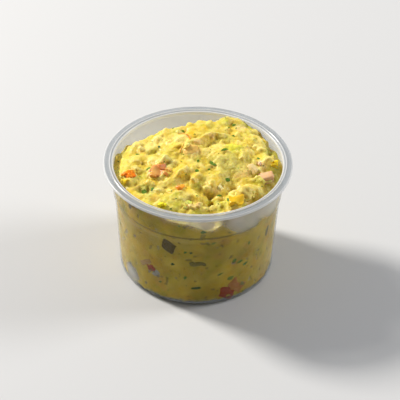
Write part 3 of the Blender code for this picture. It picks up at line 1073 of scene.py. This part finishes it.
# The larger flakes on top, in millimetres: place, length, width and turn in degrees.
LARGE_FLAKES = (
    (5.5, -1.4, 3.6, 1.4, 12),
    (-0.3, -7.4, 1.8, 1.3, 40),
    (11.9, -8.4, 2.2, 1.6, -30),
    (-19.6, -5.0, 1.9, 1.2, -50),
    (14.1, 16.0, 2.0, 1.2, -10),
    (10.4, 4.0, 2.8, 1.1, 20),
    (8.5, -17.2, 2.6, 1.1, -15),
    (12.4, -21.6, 2.0, 1.3, 30),
    (19.0, -14.6, 1.3, 1.0, 0),
    (0.0, -1.4, 1.3, 0.9, 60),
    (-20.9, -16.0, 2.4, 1.6, 10),
    (-17.6, -15.6, 1.8, 1.2, 80),
    (4.4, -4.6, 1.5, 1.0, 0),
    (-6.4, 18.0, 1.4, 0.9, 30),
    (-24.0, 4.0, 1.4, 0.9, 70),
    (24.0, 4.0, 1.7, 1.0, 20),
    (-10.0, 22.0, 1.8, 1.2, 60),
    (14.0, 24.0, 1.6, 1.0, 30),
)
# The larger flakes against the wall: angle in degrees, height, length, width and turn.
LARGE_WALL_FLAKES = (
    (-85.5, 39.6, 2.0, 1.2, 10),
    (-93.6, 28.2, 1.3, 1.0, 20),
    (-97.7, 28.3, 1.2, 0.9, 50),
    (-61.3, 21.4, 2.0, 1.8, 70),
    (-63.5, 12.6, 2.4, 1.9, 30),
    (-88.9, 9.5, 3.8, 1.2, 5),
    (-97.7, 14.8, 1.7, 1.2, 80),
    (-51.4, 17.6, 2.2, 1.1, 20),
    (-56.6, 20.0, 2.8, 1.2, 15),
    (-49.5, 28.1, 1.6, 0.9, 80),
    (-107.1, 21.0, 1.7, 1.1, 30),
    (-78.0, 33.0, 1.8, 0.8, 30),
    (-117.0, 9.8, 1.3, 0.9, 30),
    (-72.0, 16.0, 2.4, 0.8, 20),
    (40.0, 30.0, 2.6, 1.2, 30),
    (86.0, 20.0, 3.2, 1.2, -20),
    (132.0, 12.0, 2.4, 1.3, 50),
    (165.0, 24.0, 2.2, 1.2, 10),
)


def flake(length, width, rng):
    """A thin torn flake, flat in X and Y, with a slight curl: points and faces."""
    corners = rng.choice((6, 7, 8))
    outline = []
    for k in range(corners):
        turn = 2 * math.pi * k / corners + rng.uniform(-0.25, 0.25)
        reach = rng.uniform(0.6, 1.1)
        outline.append((math.cos(turn) * reach * length / 2, math.sin(turn) * reach * width / 2))
    thick = 0.09 * MM
    curl = rng.uniform(-60, 60)
    points = [(0, 0, thick / 2), (0, 0, -thick / 2)]
    for x, y in outline:
        points.append((x, y, thick / 2 + curl * x * x))
    for x, y in outline:
        points.append((x, y, -thick / 2 + curl * x * x))
    faces = []
    for k in range(corners):
        j = (k + 1) % corners
        a, b, c, d = 2 + k, 2 + j, 2 + corners + j, 2 + corners + k
        faces += [(0, a, b), (1, c, d), (a, d, c, b)]
    return np.array(points), faces


def lay(points, place, normal, spin, lift):
    """Turns flat points so that they lie on a surface with this normal."""
    up = Vector(normal).normalized()
    turn = up.to_track_quat("Z", "Y").to_matrix() @ Matrix.Rotation(spin, 3, "Z")
    return points @ np.array(turn).T + np.array(place) + np.array(up) * lift


def make_flakes():
    rng = random.Random(FLAKE_SEED)
    heap = Heap()
    for x, y, length, width, spin in LARGE_FLAKES:
        place, normal = top_at(x * MM, y * MM)
        normal = normal + np.array([0, -0.35, 0.5])
        points, faces = flake(1.2 * length * MM, 1.2 * width * MM, rng)
        heap.add(lay(points, place, normal, math.radians(spin), 0.12 * MM), faces, HERB[0])
    for _ in range(TOP_FLAKES):
        turn = rng.uniform(0, 2 * math.pi)
        out = 32.0 * MM * math.sqrt(rng.random())
        place, normal = top_at(out * math.cos(turn), out * math.sin(turn))
        length = (0.35 + 1.1 * rng.random() ** 2.5) * MM
        points, faces = flake(length, length * rng.uniform(0.4, 0.9), rng)
        normal = normal + np.array([rng.uniform(-0.4, 0.4), rng.uniform(-0.4, 0.4), 0.3])
        heap.add(lay(points, place, normal, rng.uniform(0, 6.3), 0.03 * MM), faces, rng.choice(HERB))
    wall = [
        (math.radians(angle), z * MM, 1.35 * length * MM, 1.35 * width * MM, math.radians(spin))
        for angle, z, length, width, spin in LARGE_WALL_FLAKES
    ]
    for _ in range(WALL_FLAKES):
        length = (0.3 + 1.0 * rng.random() ** 3) * MM
        wall.append((
            rng.uniform(-math.pi, math.pi),
            rng.uniform(1.5, 46.0) * MM,
            length,
            length * rng.uniform(0.35, 0.9),
            rng.uniform(0, 6.3),
        ))
    for angle, z, length, width, spin in wall:
        outwards = np.array([math.cos(angle), math.sin(angle), 0.0])
        radius = float(wall_radius(z))
        hit = mash_skin.ray_cast(Vector(outwards * 0.05) + Vector((0, 0, z)), Vector(-outwards))
        if hit[0] is None or math.hypot(hit[0].x, hit[0].y) < radius - 0.3 * MM:
            continue
        points, faces = flake(length, width, rng)
        place = outwards * (radius + INTO_WALL) + np.array([0, 0, z])
        made = lay(points, place, outwards, spin, 0.02 * MM)
        out = np.hypot(made[:, 0], made[:, 1])
        fit = wall_radius(made[:, 2]) + INTO_WALL
        local = (made - place) @ outwards
        made[:, :2] *= ((fit + 0.04 * MM + np.sign(local) * 0.03 * MM) / out)[:, None]
        heap.add(made, faces, rng.choice(HERB))
    return heap.make("herb_flakes", smooth=False)


flakes = make_flakes()
print("flakes:", len(flakes.data.polygons), "faces")

# %% Threads of tomato skin
# Each thread: its start, its end and how far it bows sideways, in millimetres.
THREADS = (
    ((-8.2, 15.0), (-3.0, 9.6), 1.6, 0.55),
    ((-7.2, 2.6), (-5.6, 5.8), 0.3, 0.4),
)


def make_threads():
    heap = Heap()
    for (x0, y0), (x1, y1), bow, width in THREADS:
        count = 22
        sides = 6
        rows = []
        across = np.array([y0 - y1, x1 - x0]) / math.hypot(x1 - x0, y1 - y0)
        path = []
        for k in range(count):
            share = k / (count - 1)
            bulge = math.sin(math.pi * share) * bow
            x = x0 + (x1 - x0) * share + across[0] * bulge
            y = y0 + (y1 - y0) * share + across[1] * bulge
            path.append(top_at(x * MM, y * MM)[0])
        path = np.array(path)
        for _ in range(3):
            path[1:-1] = (path[:-2] + path[1:-1] * 2 + path[2:]) / 4
        path[:, 2] += 0.16 * MM
        for k in range(count):
            along = path[min(k + 1, count - 1)] - path[max(k - 1, 0)]
            along = along / np.linalg.norm(along)
            side = np.cross(along, [0, 0, 1.0])
            side = side / np.linalg.norm(side)
            up = np.cross(side, along)
            taper = math.sin(math.pi * (0.08 + 0.84 * k / (count - 1))) ** 0.6
            for s in range(sides):
                turn = 2 * math.pi * s / sides
                offset = side * math.cos(turn) * width / 2 + up * math.sin(turn) * 0.16
                rows.append(path[k] + offset * taper * MM)
        faces = []
        for k in range(count - 1):
            for s in range(sides):
                t = (s + 1) % sides
                faces.append((k * sides + s, k * sides + t, (k + 1) * sides + t, (k + 1) * sides + s))
        faces.append(tuple(reversed(range(sides))))
        faces.append(tuple((count - 1) * sides + s for s in range(sides)))
        heap.add(np.array(rows), faces, (0.78, 0.24, 0.012))
    return heap.make("tomato_skin_threads")


threads = make_threads()
print("threads:", len(THREADS))

# %% [markdown]
# ## Shader groups that the foods share
#
# All the food here is wet, mottled plant flesh. Three effects are shared, so each is built once as
# a node group: a mottle for the colour, a fine relief for the surface, and patches of wetness for
# the gloss. Each material then gives them its own sizes.

# %% Build the groups


def new_group(name, inputs, outputs):
    """A shader group with float sockets: inputs as (name, default), outputs as names."""
    group = bpy.data.node_groups.new(name, "ShaderNodeTree")
    for label, default in inputs:
        socket = group.interface.new_socket(label, in_out="INPUT", socket_type="NodeSocketFloat")
        socket.default_value = default
    for label in outputs:
        group.interface.new_socket(label, in_out="OUTPUT", socket_type="NodeSocketFloat")
    nodes = group.nodes
    return group, nodes.new("NodeGroupInput"), nodes.new("NodeGroupOutput")


def math_node(tree, operation, a, b=None, clamp=False):
    """A Math node whose inputs are sockets or numbers. It returns the output socket."""
    node = tree.nodes.new("ShaderNodeMath")
    node.operation = operation
    node.use_clamp = clamp
    for index, value in enumerate((a, b)):
        if value is None:
            continue
        if isinstance(value, (int, float)):
            node.inputs[index].default_value = value
        else:
            tree.links.new(value, node.inputs[index])
    return node.outputs[0]


def noise_node(tree, place, scale, detail=3.0, rough=0.55):
    node = tree.nodes.new("ShaderNodeTexNoise")
    node.inputs["Detail"].default_value = detail
    node.inputs["Roughness"].default_value = rough
    tree.links.new(place, node.inputs["Vector"])
    if isinstance(scale, (int, float)):
        node.inputs["Scale"].default_value = scale
    else:
        tree.links.new(scale, node.inputs["Scale"])
    return node.outputs["Fac"]


def spread(tree, value, low, high):
    """Maps a range of values to 0 to 1, clamped."""
    node = tree.nodes.new("ShaderNodeMapRange")
    tree.links.new(value, node.inputs["Value"])
    for label, level in (("From Min", low), ("From Max", high)):
        if isinstance(level, (int, float)):
            node.inputs[label].default_value = level
        else:
            tree.links.new(level, node.inputs[label])
    return node.outputs["Result"]


def build_mottle():
    """Cloudy patches, from 0 to 1. Size is how wide a patch is, in metres."""
    group, given, out = new_group("flesh_mottle", (("Size", 0.002), ("Contrast", 0.5)), ("Mask",))
    place = group.nodes.new("ShaderNodeTexCoord").outputs["Object"]
    scale = math_node(group, "DIVIDE", 0.6, given.outputs["Size"])
    cloud = noise_node(group, place, scale)
    softness = math_node(group, "SUBTRACT", 1.0, given.outputs["Contrast"])
    half = math_node(group, "ADD", math_node(group, "MULTIPLY", softness, 0.3), 0.03)
    low = math_node(group, "SUBTRACT", 0.48, half)
    high = math_node(group, "ADD", 0.52, half)
    group.links.new(spread(group, cloud, low, high), out.inputs["Mask"])
    return group


def build_relief():
    """The height of a fine, moist, fibrous surface. Grain is the width of a grain, in metres."""
    group, given, out = new_group("moist_relief", (("Grain", 0.0006), ("Fibre", 0.3)), ("Height",))
    place = group.nodes.new("ShaderNodeTexCoord").outputs["Object"]
    scale = math_node(group, "DIVIDE", 0.7, given.outputs["Grain"])
    fine = noise_node(group, place, scale, 4.0, 0.6)
    cells = group.nodes.new("ShaderNodeTexVoronoi")
    cells.feature = "SMOOTH_F1"
    group.links.new(place, cells.inputs["Vector"])
    group.links.new(scale, cells.inputs["Scale"])
    pits = math_node(group, "MULTIPLY", cells.outputs["Distance"], given.outputs["Fibre"])
    group.links.new(math_node(group, "SUBTRACT", fine, pits), out.inputs["Height"])
    return group


def build_wetness():
    """Roughness that drops in small wet patches."""
    group, given, out = new_group(
        "wet_patches", (("Size", 0.003), ("Dry", 0.5), ("Wet", 0.2)), ("Roughness",)
    )
    place = group.nodes.new("ShaderNodeTexCoord").outputs["Object"]
    scale = math_node(group, "DIVIDE", 0.6, given.outputs["Size"])
    patch = spread(group, noise_node(group, place, scale), 0.42, 0.6)
    span = math_node(group, "SUBTRACT", given.outputs["Dry"], given.outputs["Wet"])
    fall = math_node(group, "MULTIPLY", patch, span)
    group.links.new(math_node(group, "SUBTRACT", given.outputs["Dry"], fall), out.inputs["Roughness"])
    return group


MOTTLE = build_mottle()
RELIEF = build_relief()
WETNESS = build_wetness()
print("groups:", MOTTLE.name, RELIEF.name, WETNESS.name)

# %% [markdown]
# ## Materials
#
# Each food keeps its own Principled shader. The colour of each lump or piece is stored on the mesh,
# and noise breaks it up further. A little subsurface scattering lets light soak through edges, as
# it does in wet flesh, so creases glow warm instead of going grey.

# %% Helpers for materials


def new_material(name):
    made = bpy.data.materials.new(name)
    made.use_nodes = True
    return made, made.node_tree, made.node_tree.nodes["Principled BSDF"]


def place_group(tree, group, **values):
    node = tree.nodes.new("ShaderNodeGroup")
    node.node_tree = group
    for label, value in values.items():
        node.inputs[label].default_value = value
    return node


def attribute(tree, name, output):
    node = tree.nodes.new("ShaderNodeAttribute")
    node.attribute_name = name
    return node.outputs[output]


def mix_colour(tree, share, a, b, blend="MIX"):
    """A colour mix whose inputs are sockets or colours."""
    node = tree.nodes.new("ShaderNodeMix")
    node.data_type = "RGBA"
    node.blend_type = blend
    for socket, value in ((node.inputs[0], share), (node.inputs[6], a), (node.inputs[7], b)):
        if isinstance(value, (int, float)):
            socket.default_value = value
        elif isinstance(value, tuple):
            socket.default_value = (*value, 1.0)
        else:
            tree.links.new(value, socket)
    return node.outputs[2]


def bump(tree, height, distance, strength=1.0):
    node = tree.nodes.new("ShaderNodeBump")
    node.inputs["Distance"].default_value = distance
    if isinstance(strength, (int, float)):
        node.inputs["Strength"].default_value = strength
    else:
        tree.links.new(strength, node.inputs["Strength"])
    tree.links.new(height, node.inputs["Height"])
    return node.outputs["Normal"]


def soak(shader, weight, radius, scale):
    shader.inputs["Subsurface Weight"].default_value = weight
    shader.inputs["Subsurface Radius"].default_value = radius
    shader.inputs["Subsurface Scale"].default_value = scale


# %% The mash


def mash_material():
    made, tree, shader = new_material("avocado_mash")
    tint = attribute(tree, "tint", "Color")
    cavity = attribute(tree, "cavity", "Fac")
    pressed = attribute(tree, "pressed", "Fac")
    mottle = place_group(tree, MOTTLE, Size=0.0016, Contrast=0.55).outputs["Mask"]
    broad = place_group(tree, MOTTLE, Size=0.007, Contrast=0.4).outputs["Mask"]
    colour = mix_colour(tree, math_node(tree, "MULTIPLY", mottle, 0.30), tint, (0.90, 0.70, 0.16))
    colour = mix_colour(tree, math_node(tree, "MULTIPLY", broad, 0.25), colour, (0.70, 0.58, 0.06))
    # Painted shade and light: creases are painted a deeper gold as if in shade, and crowns paler as if
    # lit.
    painted_crease_shade = spread(tree, cavity, 0.05, 0.9)
    painted_crown_light = spread(tree, math_node(tree, "MULTIPLY", cavity, -1.0), 0.1, 1.1)
    colour = mix_colour(tree, math_node(tree, "MULTIPLY", painted_crease_shade, 0.72), colour, (0.52, 0.34, 0.018))
    colour = mix_colour(tree, math_node(tree, "MULTIPLY", painted_crown_light, 0.45), colour, (0.96, 0.83, 0.34))
    # Crushed leaf leaves pinpoint specks everywhere.
    place = tree.nodes.new("ShaderNodeTexCoord").outputs["Object"]
    specks = tree.nodes.new("ShaderNodeTexVoronoi")
    specks.inputs["Scale"].default_value = 620.0
    tree.links.new(place, specks.inputs["Vector"])
    near = spread(tree, specks.outputs["Distance"], 0.20, 0.08)
    rare = spread(tree, noise_node(tree, place, 260.0), 0.56, 0.62)
    speck = math_node(tree, "MULTIPLY", near, rare)
    colour = mix_colour(tree, math_node(tree, "MULTIPLY", speck, 0.7), colour, (0.20, 0.26, 0.03))
    # Painted shade: a darker gold-brown line along the shoulder, where the mash stands a little off
    # the bend of the wall.
    bend = math_node(tree, "MULTIPLY", attribute(tree, "bend", "Fac"), 0.5)
    colour = mix_colour(tree, bend, colour, (0.34, 0.23, 0.02))
    # Against the wall the mash is wet and squeezed, so it is deeper in colour, in soft clouds.
    clouds = place_group(tree, MOTTLE, Size=0.0055, Contrast=0.3).outputs["Mask"]
    flat = mix_colour(tree, 1.0, colour, (0.90, 0.80, 0.34), "MULTIPLY")
    dark = mix_colour(tree, 1.0, flat, (0.46, 0.46, 0.32), "MULTIPLY")
    flat = mix_colour(tree, math_node(tree, "MULTIPLY", clouds, 0.75), flat, dark)
    colour = mix_colour(tree, pressed, colour, flat)
    # Painted shade: mash at the back of an air pocket is a darker grey-brown, standing in for the
    # shade inside the hollow.
    pocket = attribute(tree, "pocket", "Fac")
    colour = mix_colour(tree, pocket, colour, (0.50, 0.42, 0.26))
    tree.links.new(colour, shader.inputs["Base Color"])
    wet = place_group(tree, WETNESS, Size=0.0035, Dry=0.52, Wet=0.26)
    tree.links.new(wet.outputs["Roughness"], shader.inputs["Roughness"])
    relief = place_group(tree, RELIEF, Grain=0.0007, Fibre=0.5)
    strength = math_node(tree, "SUBTRACT", 0.75, math_node(tree, "MULTIPLY", pressed, 0.65))
    tree.links.new(bump(tree, relief.outputs["Height"], 0.00045, strength), shader.inputs["Normal"])
    soak(shader, 0.45, (1.0, 0.72, 0.16), 0.0022)
    shader.inputs["IOR"].default_value = 1.40
    shader.inputs["Specular IOR Level"].default_value = 0.22
    # The film of oil and juice is on the open top only, in small patches.
    film = place_group(tree, MOTTLE, Size=0.0022, Contrast=0.6).outputs["Mask"]
    bare = math_node(tree, "SUBTRACT", 1.0, pressed)
    film = math_node(tree, "MULTIPLY", math_node(tree, "MULTIPLY", film, bare), 0.35)
    tree.links.new(film, shader.inputs["Coat Weight"])
    shader.inputs["Coat Roughness"].default_value = 0.24
    shader.inputs["Coat IOR"].default_value = 1.40
    return made


# %% Avocado, tomato, onion, leaf and skin


def flesh_material(name, lift, mottle_size, roughness, soaks, grain=0.0008, depth=0.0003):
    """Wet cut flesh: its own colour from the mesh, lifted in paler patches."""
    made, tree, shader = new_material(name)
    tint = attribute(tree, "tint", "Color")
    mask = place_group(tree, MOTTLE, Size=mottle_size, Contrast=0.5).outputs["Mask"]
    paler = mix_colour(tree, 1.0, tint, lift, "MULTIPLY")
    colour = mix_colour(tree, math_node(tree, "MULTIPLY", mask, 0.8), tint, paler)
    tree.links.new(colour, shader.inputs["Base Color"])
    wet = place_group(tree, WETNESS, Size=0.002, Dry=roughness, Wet=roughness * 0.5)
    tree.links.new(wet.outputs["Roughness"], shader.inputs["Roughness"])
    relief = place_group(tree, RELIEF, Grain=grain, Fibre=0.4)
    tree.links.new(bump(tree, relief.outputs["Height"], depth, 0.7), shader.inputs["Normal"])
    soak(shader, soaks, (1.0, 0.6, 0.3), 0.0015)
    shader.inputs["IOR"].default_value = 1.40
    shader.inputs["Specular IOR Level"].default_value = 0.3
    return made


def leaf_material():
    made, tree, shader = new_material("chopped_leaf")
    tint = attribute(tree, "tint", "Color")
    mask = place_group(tree, MOTTLE, Size=0.0006, Contrast=0.5).outputs["Mask"]
    paler = mix_colour(tree, 1.0, tint, (2.0, 1.9, 1.6), "MULTIPLY")
    colour = mix_colour(tree, math_node(tree, "MULTIPLY", mask, 0.5), tint, paler)
    tree.links.new(colour, shader.inputs["Base Color"])
    wet = place_group(tree, WETNESS, Size=0.001, Dry=0.8, Wet=0.5)
    tree.links.new(wet.outputs["Roughness"], shader.inputs["Roughness"])
    relief = place_group(tree, RELIEF, Grain=0.0003, Fibre=0.3)
    tree.links.new(bump(tree, relief.outputs["Height"], 0.0001, 0.6), shader.inputs["Normal"])
    shader.inputs["Specular IOR Level"].default_value = 0.25
    return made


# %% The pot's plastic


def plastic_material():
    """Thin milky polypropylene: clear face on, whiter at a slant, with a soft gloss."""
    made, tree, shader = new_material("milky_polypropylene")
    clouds = place_group(tree, MOTTLE, Size=0.006, Contrast=0.2).outputs["Mask"]
    share = math_node(tree, "MULTIPLY", clouds, 0.3)
    colour = mix_colour(tree, share, (0.84, 0.84, 0.83), (0.90, 0.90, 0.88))
    place = tree.nodes.new("ShaderNodeTexCoord").outputs["Object"]
    split = tree.nodes.new("ShaderNodeSeparateXYZ")
    tree.links.new(place, split.inputs["Vector"])
    flat = tree.nodes.new("ShaderNodeCombineXYZ")
    tree.links.new(split.outputs["X"], flat.inputs["X"])
    tree.links.new(split.outputs["Y"], flat.inputs["Y"])
    length = tree.nodes.new("ShaderNodeVectorMath")
    length.operation = "LENGTH"
    tree.links.new(flat.outputs[0], length.inputs[0])
    reach = length.outputs["Value"]
    rim = spread(tree, split.outputs["Z"], RIM_HEIGHT - 1.6 * MM, RIM_HEIGHT - 0.8 * MM)
    # Painted highlights: the thick edges and the bead are painted as the whitest lines, standing in
    # for the light that gathers and glints there.
    outer = spread(tree, reach, RIM_RADIUS - 0.55 * MM, RIM_RADIUS - 0.25 * MM)
    inner = spread(tree, reach, COLLAR_TOP_RADIUS + 0.15 * MM, COLLAR_TOP_RADIUS - 0.15 * MM)
    bead = math_node(tree, "ABSOLUTE", math_node(tree, "SUBTRACT", reach, BEAD_RADIUS))
    bead = spread(tree, bead, 0.34 * MM, 0.10 * MM)
    painted_rim_highlights = math_node(tree, "MAXIMUM", math_node(tree, "MAXIMUM", outer, inner), bead)
    painted_rim_highlights = math_node(tree, "MULTIPLY", math_node(tree, "MULTIPLY", painted_rim_highlights, rim), 0.85)
    # Painted reflection: the flat rim is a darker grey-blue, standing in for dark surroundings
    # reflected in it and seen through it.
    colour = mix_colour(tree, rim, colour, (0.44, 0.465, 0.485))
    colour = mix_colour(tree, painted_rim_highlights, colour, (0.96, 0.96, 0.95))
    tree.links.new(colour, shader.inputs["Base Color"])
    shader.inputs["Roughness"].default_value = 0.22
    shader.inputs["IOR"].default_value = 1.49
    soak(shader, 0.35, (1.0, 1.0, 1.0), 0.003)
    relief = place_group(tree, RELIEF, Grain=0.004, Fibre=0.1)
    tree.links.new(bump(tree, relief.outputs["Height"], 0.0002, 0.25), shader.inputs["Normal"])
    facing = tree.nodes.new("ShaderNodeLayerWeight")
    facing.inputs["Blend"].default_value = 0.30
    slant = math_node(tree, "POWER", facing.outputs["Facing"], 2.2)
    above_foot = spread(tree, split.outputs["Z"], 1.0 * MM, 7.0 * MM)
    slant = math_node(tree, "MULTIPLY", math_node(tree, "MULTIPLY", slant, 0.5), above_foot)
    apart = math_node(tree, "SUBTRACT", 1.0, attribute(tree, "touch", "Fac"))
    veil = math_node(tree, "ADD", math_node(tree, "MULTIPLY", apart, 0.24), 0.02)
    cover = math_node(tree, "ADD", veil, slant)
    # The rim is made more opaque, so that its painted grey shows.
    cover = math_node(tree, "ADD", cover, math_node(tree, "MULTIPLY", rim, 0.30), clamp=True)
    clear = tree.nodes.new("ShaderNodeBsdfTransparent")
    clear.inputs["Color"].default_value = (0.80, 0.81, 0.81, 1.0)
    blend = tree.nodes.new("ShaderNodeMixShader")
    tree.links.new(cover, blend.inputs[0])
    tree.links.new(clear.outputs[0], blend.inputs[1])
    tree.links.new(shader.outputs[0], blend.inputs[2])
    tree.links.new(blend.outputs[0], tree.nodes["Material Output"].inputs["Surface"])
    return made


def finish_with(obj, made, slot, *nodes):
    """Gives a piece its material, its body and the nodes that it stands for. Its slot is not used."""
    obj.data.materials.clear()
    obj.data.materials.append(made)
    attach(obj, "root")
    if nodes:
        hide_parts(*nodes)


def nodes_of_kind(kind):
    return [name for name in CHUNK_NODES if name.startswith(kind)]


finish_with(pot, plastic_material(), "clear_pot", "cup")
finish_with(mash, mash_material(), "avocado_mash", "guacamole")
finish_with(
    pieces["avocado"],
    flesh_material("avocado_flesh", (1.08, 1.15, 1.3), 0.003, 0.42, 0.25),
    "avocado_flesh",
    *nodes_of_kind("avocado"),
)
finish_with(
    pieces["tomato"],
    flesh_material("tomato_flesh", (1.12, 1.6, 1.5), 0.0016, 0.34, 0.25),
    "tomato",
    *nodes_of_kind("tomato"),
)
finish_with(
    pieces["onion"],
    flesh_material("onion_flesh", (1.12, 1.3, 1.5), 0.002, 0.30, 0.3),
    "onion",
    *nodes_of_kind("onion"),
)
finish_with(flakes, leaf_material(), "herb")
finish_with(threads, flesh_material("tomato_skin", (1.1, 1.5, 1.8), 0.001, 0.3, 0.1), "tomato")
print("materials:", len(bpy.data.materials))

# %% [markdown]
# ## The studio
#
# The floor is plain and pale, and the light is soft. One large lamp stands high behind and to the
# left, so the lumps throw short shadows towards the front. A weaker one on the right and the world
# itself fill those shadows.

# %% Floor


def make_floor():
    mesh = bpy.data.meshes.new("floor")
    half = 6.0
    mesh.from_pydata(
        [(-half, -half, 0), (half, -half, 0), (half, half, 0), (-half, half, 0)], [], [(0, 1, 2, 3)]
    )
    floor = add_object("floor", mesh, smooth=False)
    made, tree, shader = new_material("pale_floor")
    mask = place_group(tree, MOTTLE, Size=0.3, Contrast=0.1).outputs["Mask"]
    share = math_node(tree, "MULTIPLY", mask, 0.1)
    colour = mix_colour(tree, share, (0.62, 0.62, 0.62), (0.58, 0.58, 0.58))
    tree.links.new(colour, shader.inputs["Base Color"])
    shader.inputs["Roughness"].default_value = 0.6
    mesh.materials.append(made)


make_floor()
print("floor: plain and pale")

# %% Lamps and world
TARGET = Vector((0.0, 0.0, 0.6 * RIM_HEIGHT))


def lamp(name, place, size, power, colour=(1.0, 1.0, 1.0)):
    data = bpy.data.lights.new(name, "AREA")
    data.shape = "DISK"
    data.size = size
    data.energy = power
    data.color = colour
    obj = bpy.data.objects.new(name, data)
    bpy.context.scene.collection.objects.link(obj)
    obj.location = place
    obj.rotation_euler = (TARGET - Vector(place)).to_track_quat("-Z", "Y").to_euler()


lamp("key", (-0.95, 0.50, 0.80), 0.26, 24.0, (1.0, 0.97, 0.92))
lamp("side", (1.05, 0.20, 0.60), 0.45, 8.5)
world = bpy.data.worlds.new("soft_world")
bpy.context.scene.world = world
world.use_nodes = True
background = world.node_tree.nodes["Background"]
background.inputs["Color"].default_value = (0.9, 0.93, 1.0, 1.0)
background.inputs["Strength"].default_value = 0.25
print("lamps:", len(bpy.data.lights))

# %% [markdown]
# ## The camera
#
# A long lens from well back keeps the rim's ellipse and the foot in proportion. The camera looks
# down at the middle of the rim, and is then slid sideways and down in its own plane, so that the
# pot sits a little above the middle of the frame.

# %% Camera
CAMERA_TILT = math.radians(37.63)
CAMERA_ROLL = math.radians(1.17)
CAMERA_DISTANCE = 1.2526
LENS = 285.2
SLIDE_RIGHT = 0.77 * MM
SLIDE_DOWN = 15.13 * MM


def make_camera():
    forwards = Vector((0, math.cos(CAMERA_TILT), -math.sin(CAMERA_TILT)))
    up = Vector((0, math.sin(CAMERA_TILT), math.cos(CAMERA_TILT)))
    right = Vector((1, 0, 0))
    across = right * math.cos(CAMERA_ROLL) + up * math.sin(CAMERA_ROLL)
    above = up * math.cos(CAMERA_ROLL) - right * math.sin(CAMERA_ROLL)
    rim_middle = Vector((0, 0, RIM_HEIGHT))
    place = rim_middle - forwards * CAMERA_DISTANCE + across * SLIDE_RIGHT - above * SLIDE_DOWN
    data = bpy.data.cameras.new("camera")
    data.lens = LENS
    data.sensor_width = 36.0
    data.clip_end = 50.0
    camera = bpy.data.objects.new("camera", data)
    bpy.context.scene.collection.objects.link(camera)
    turned = Matrix((across, above, -forwards)).transposed().to_4x4()
    camera.matrix_world = Matrix.Translation(place) @ turned
    bpy.context.scene.camera = camera


make_camera()
bpy.context.scene.view_settings.view_transform = "Standard"
print("camera", CAMERA_DISTANCE, "m away, tilted", round(math.degrees(CAMERA_TILT), 1), "degrees")
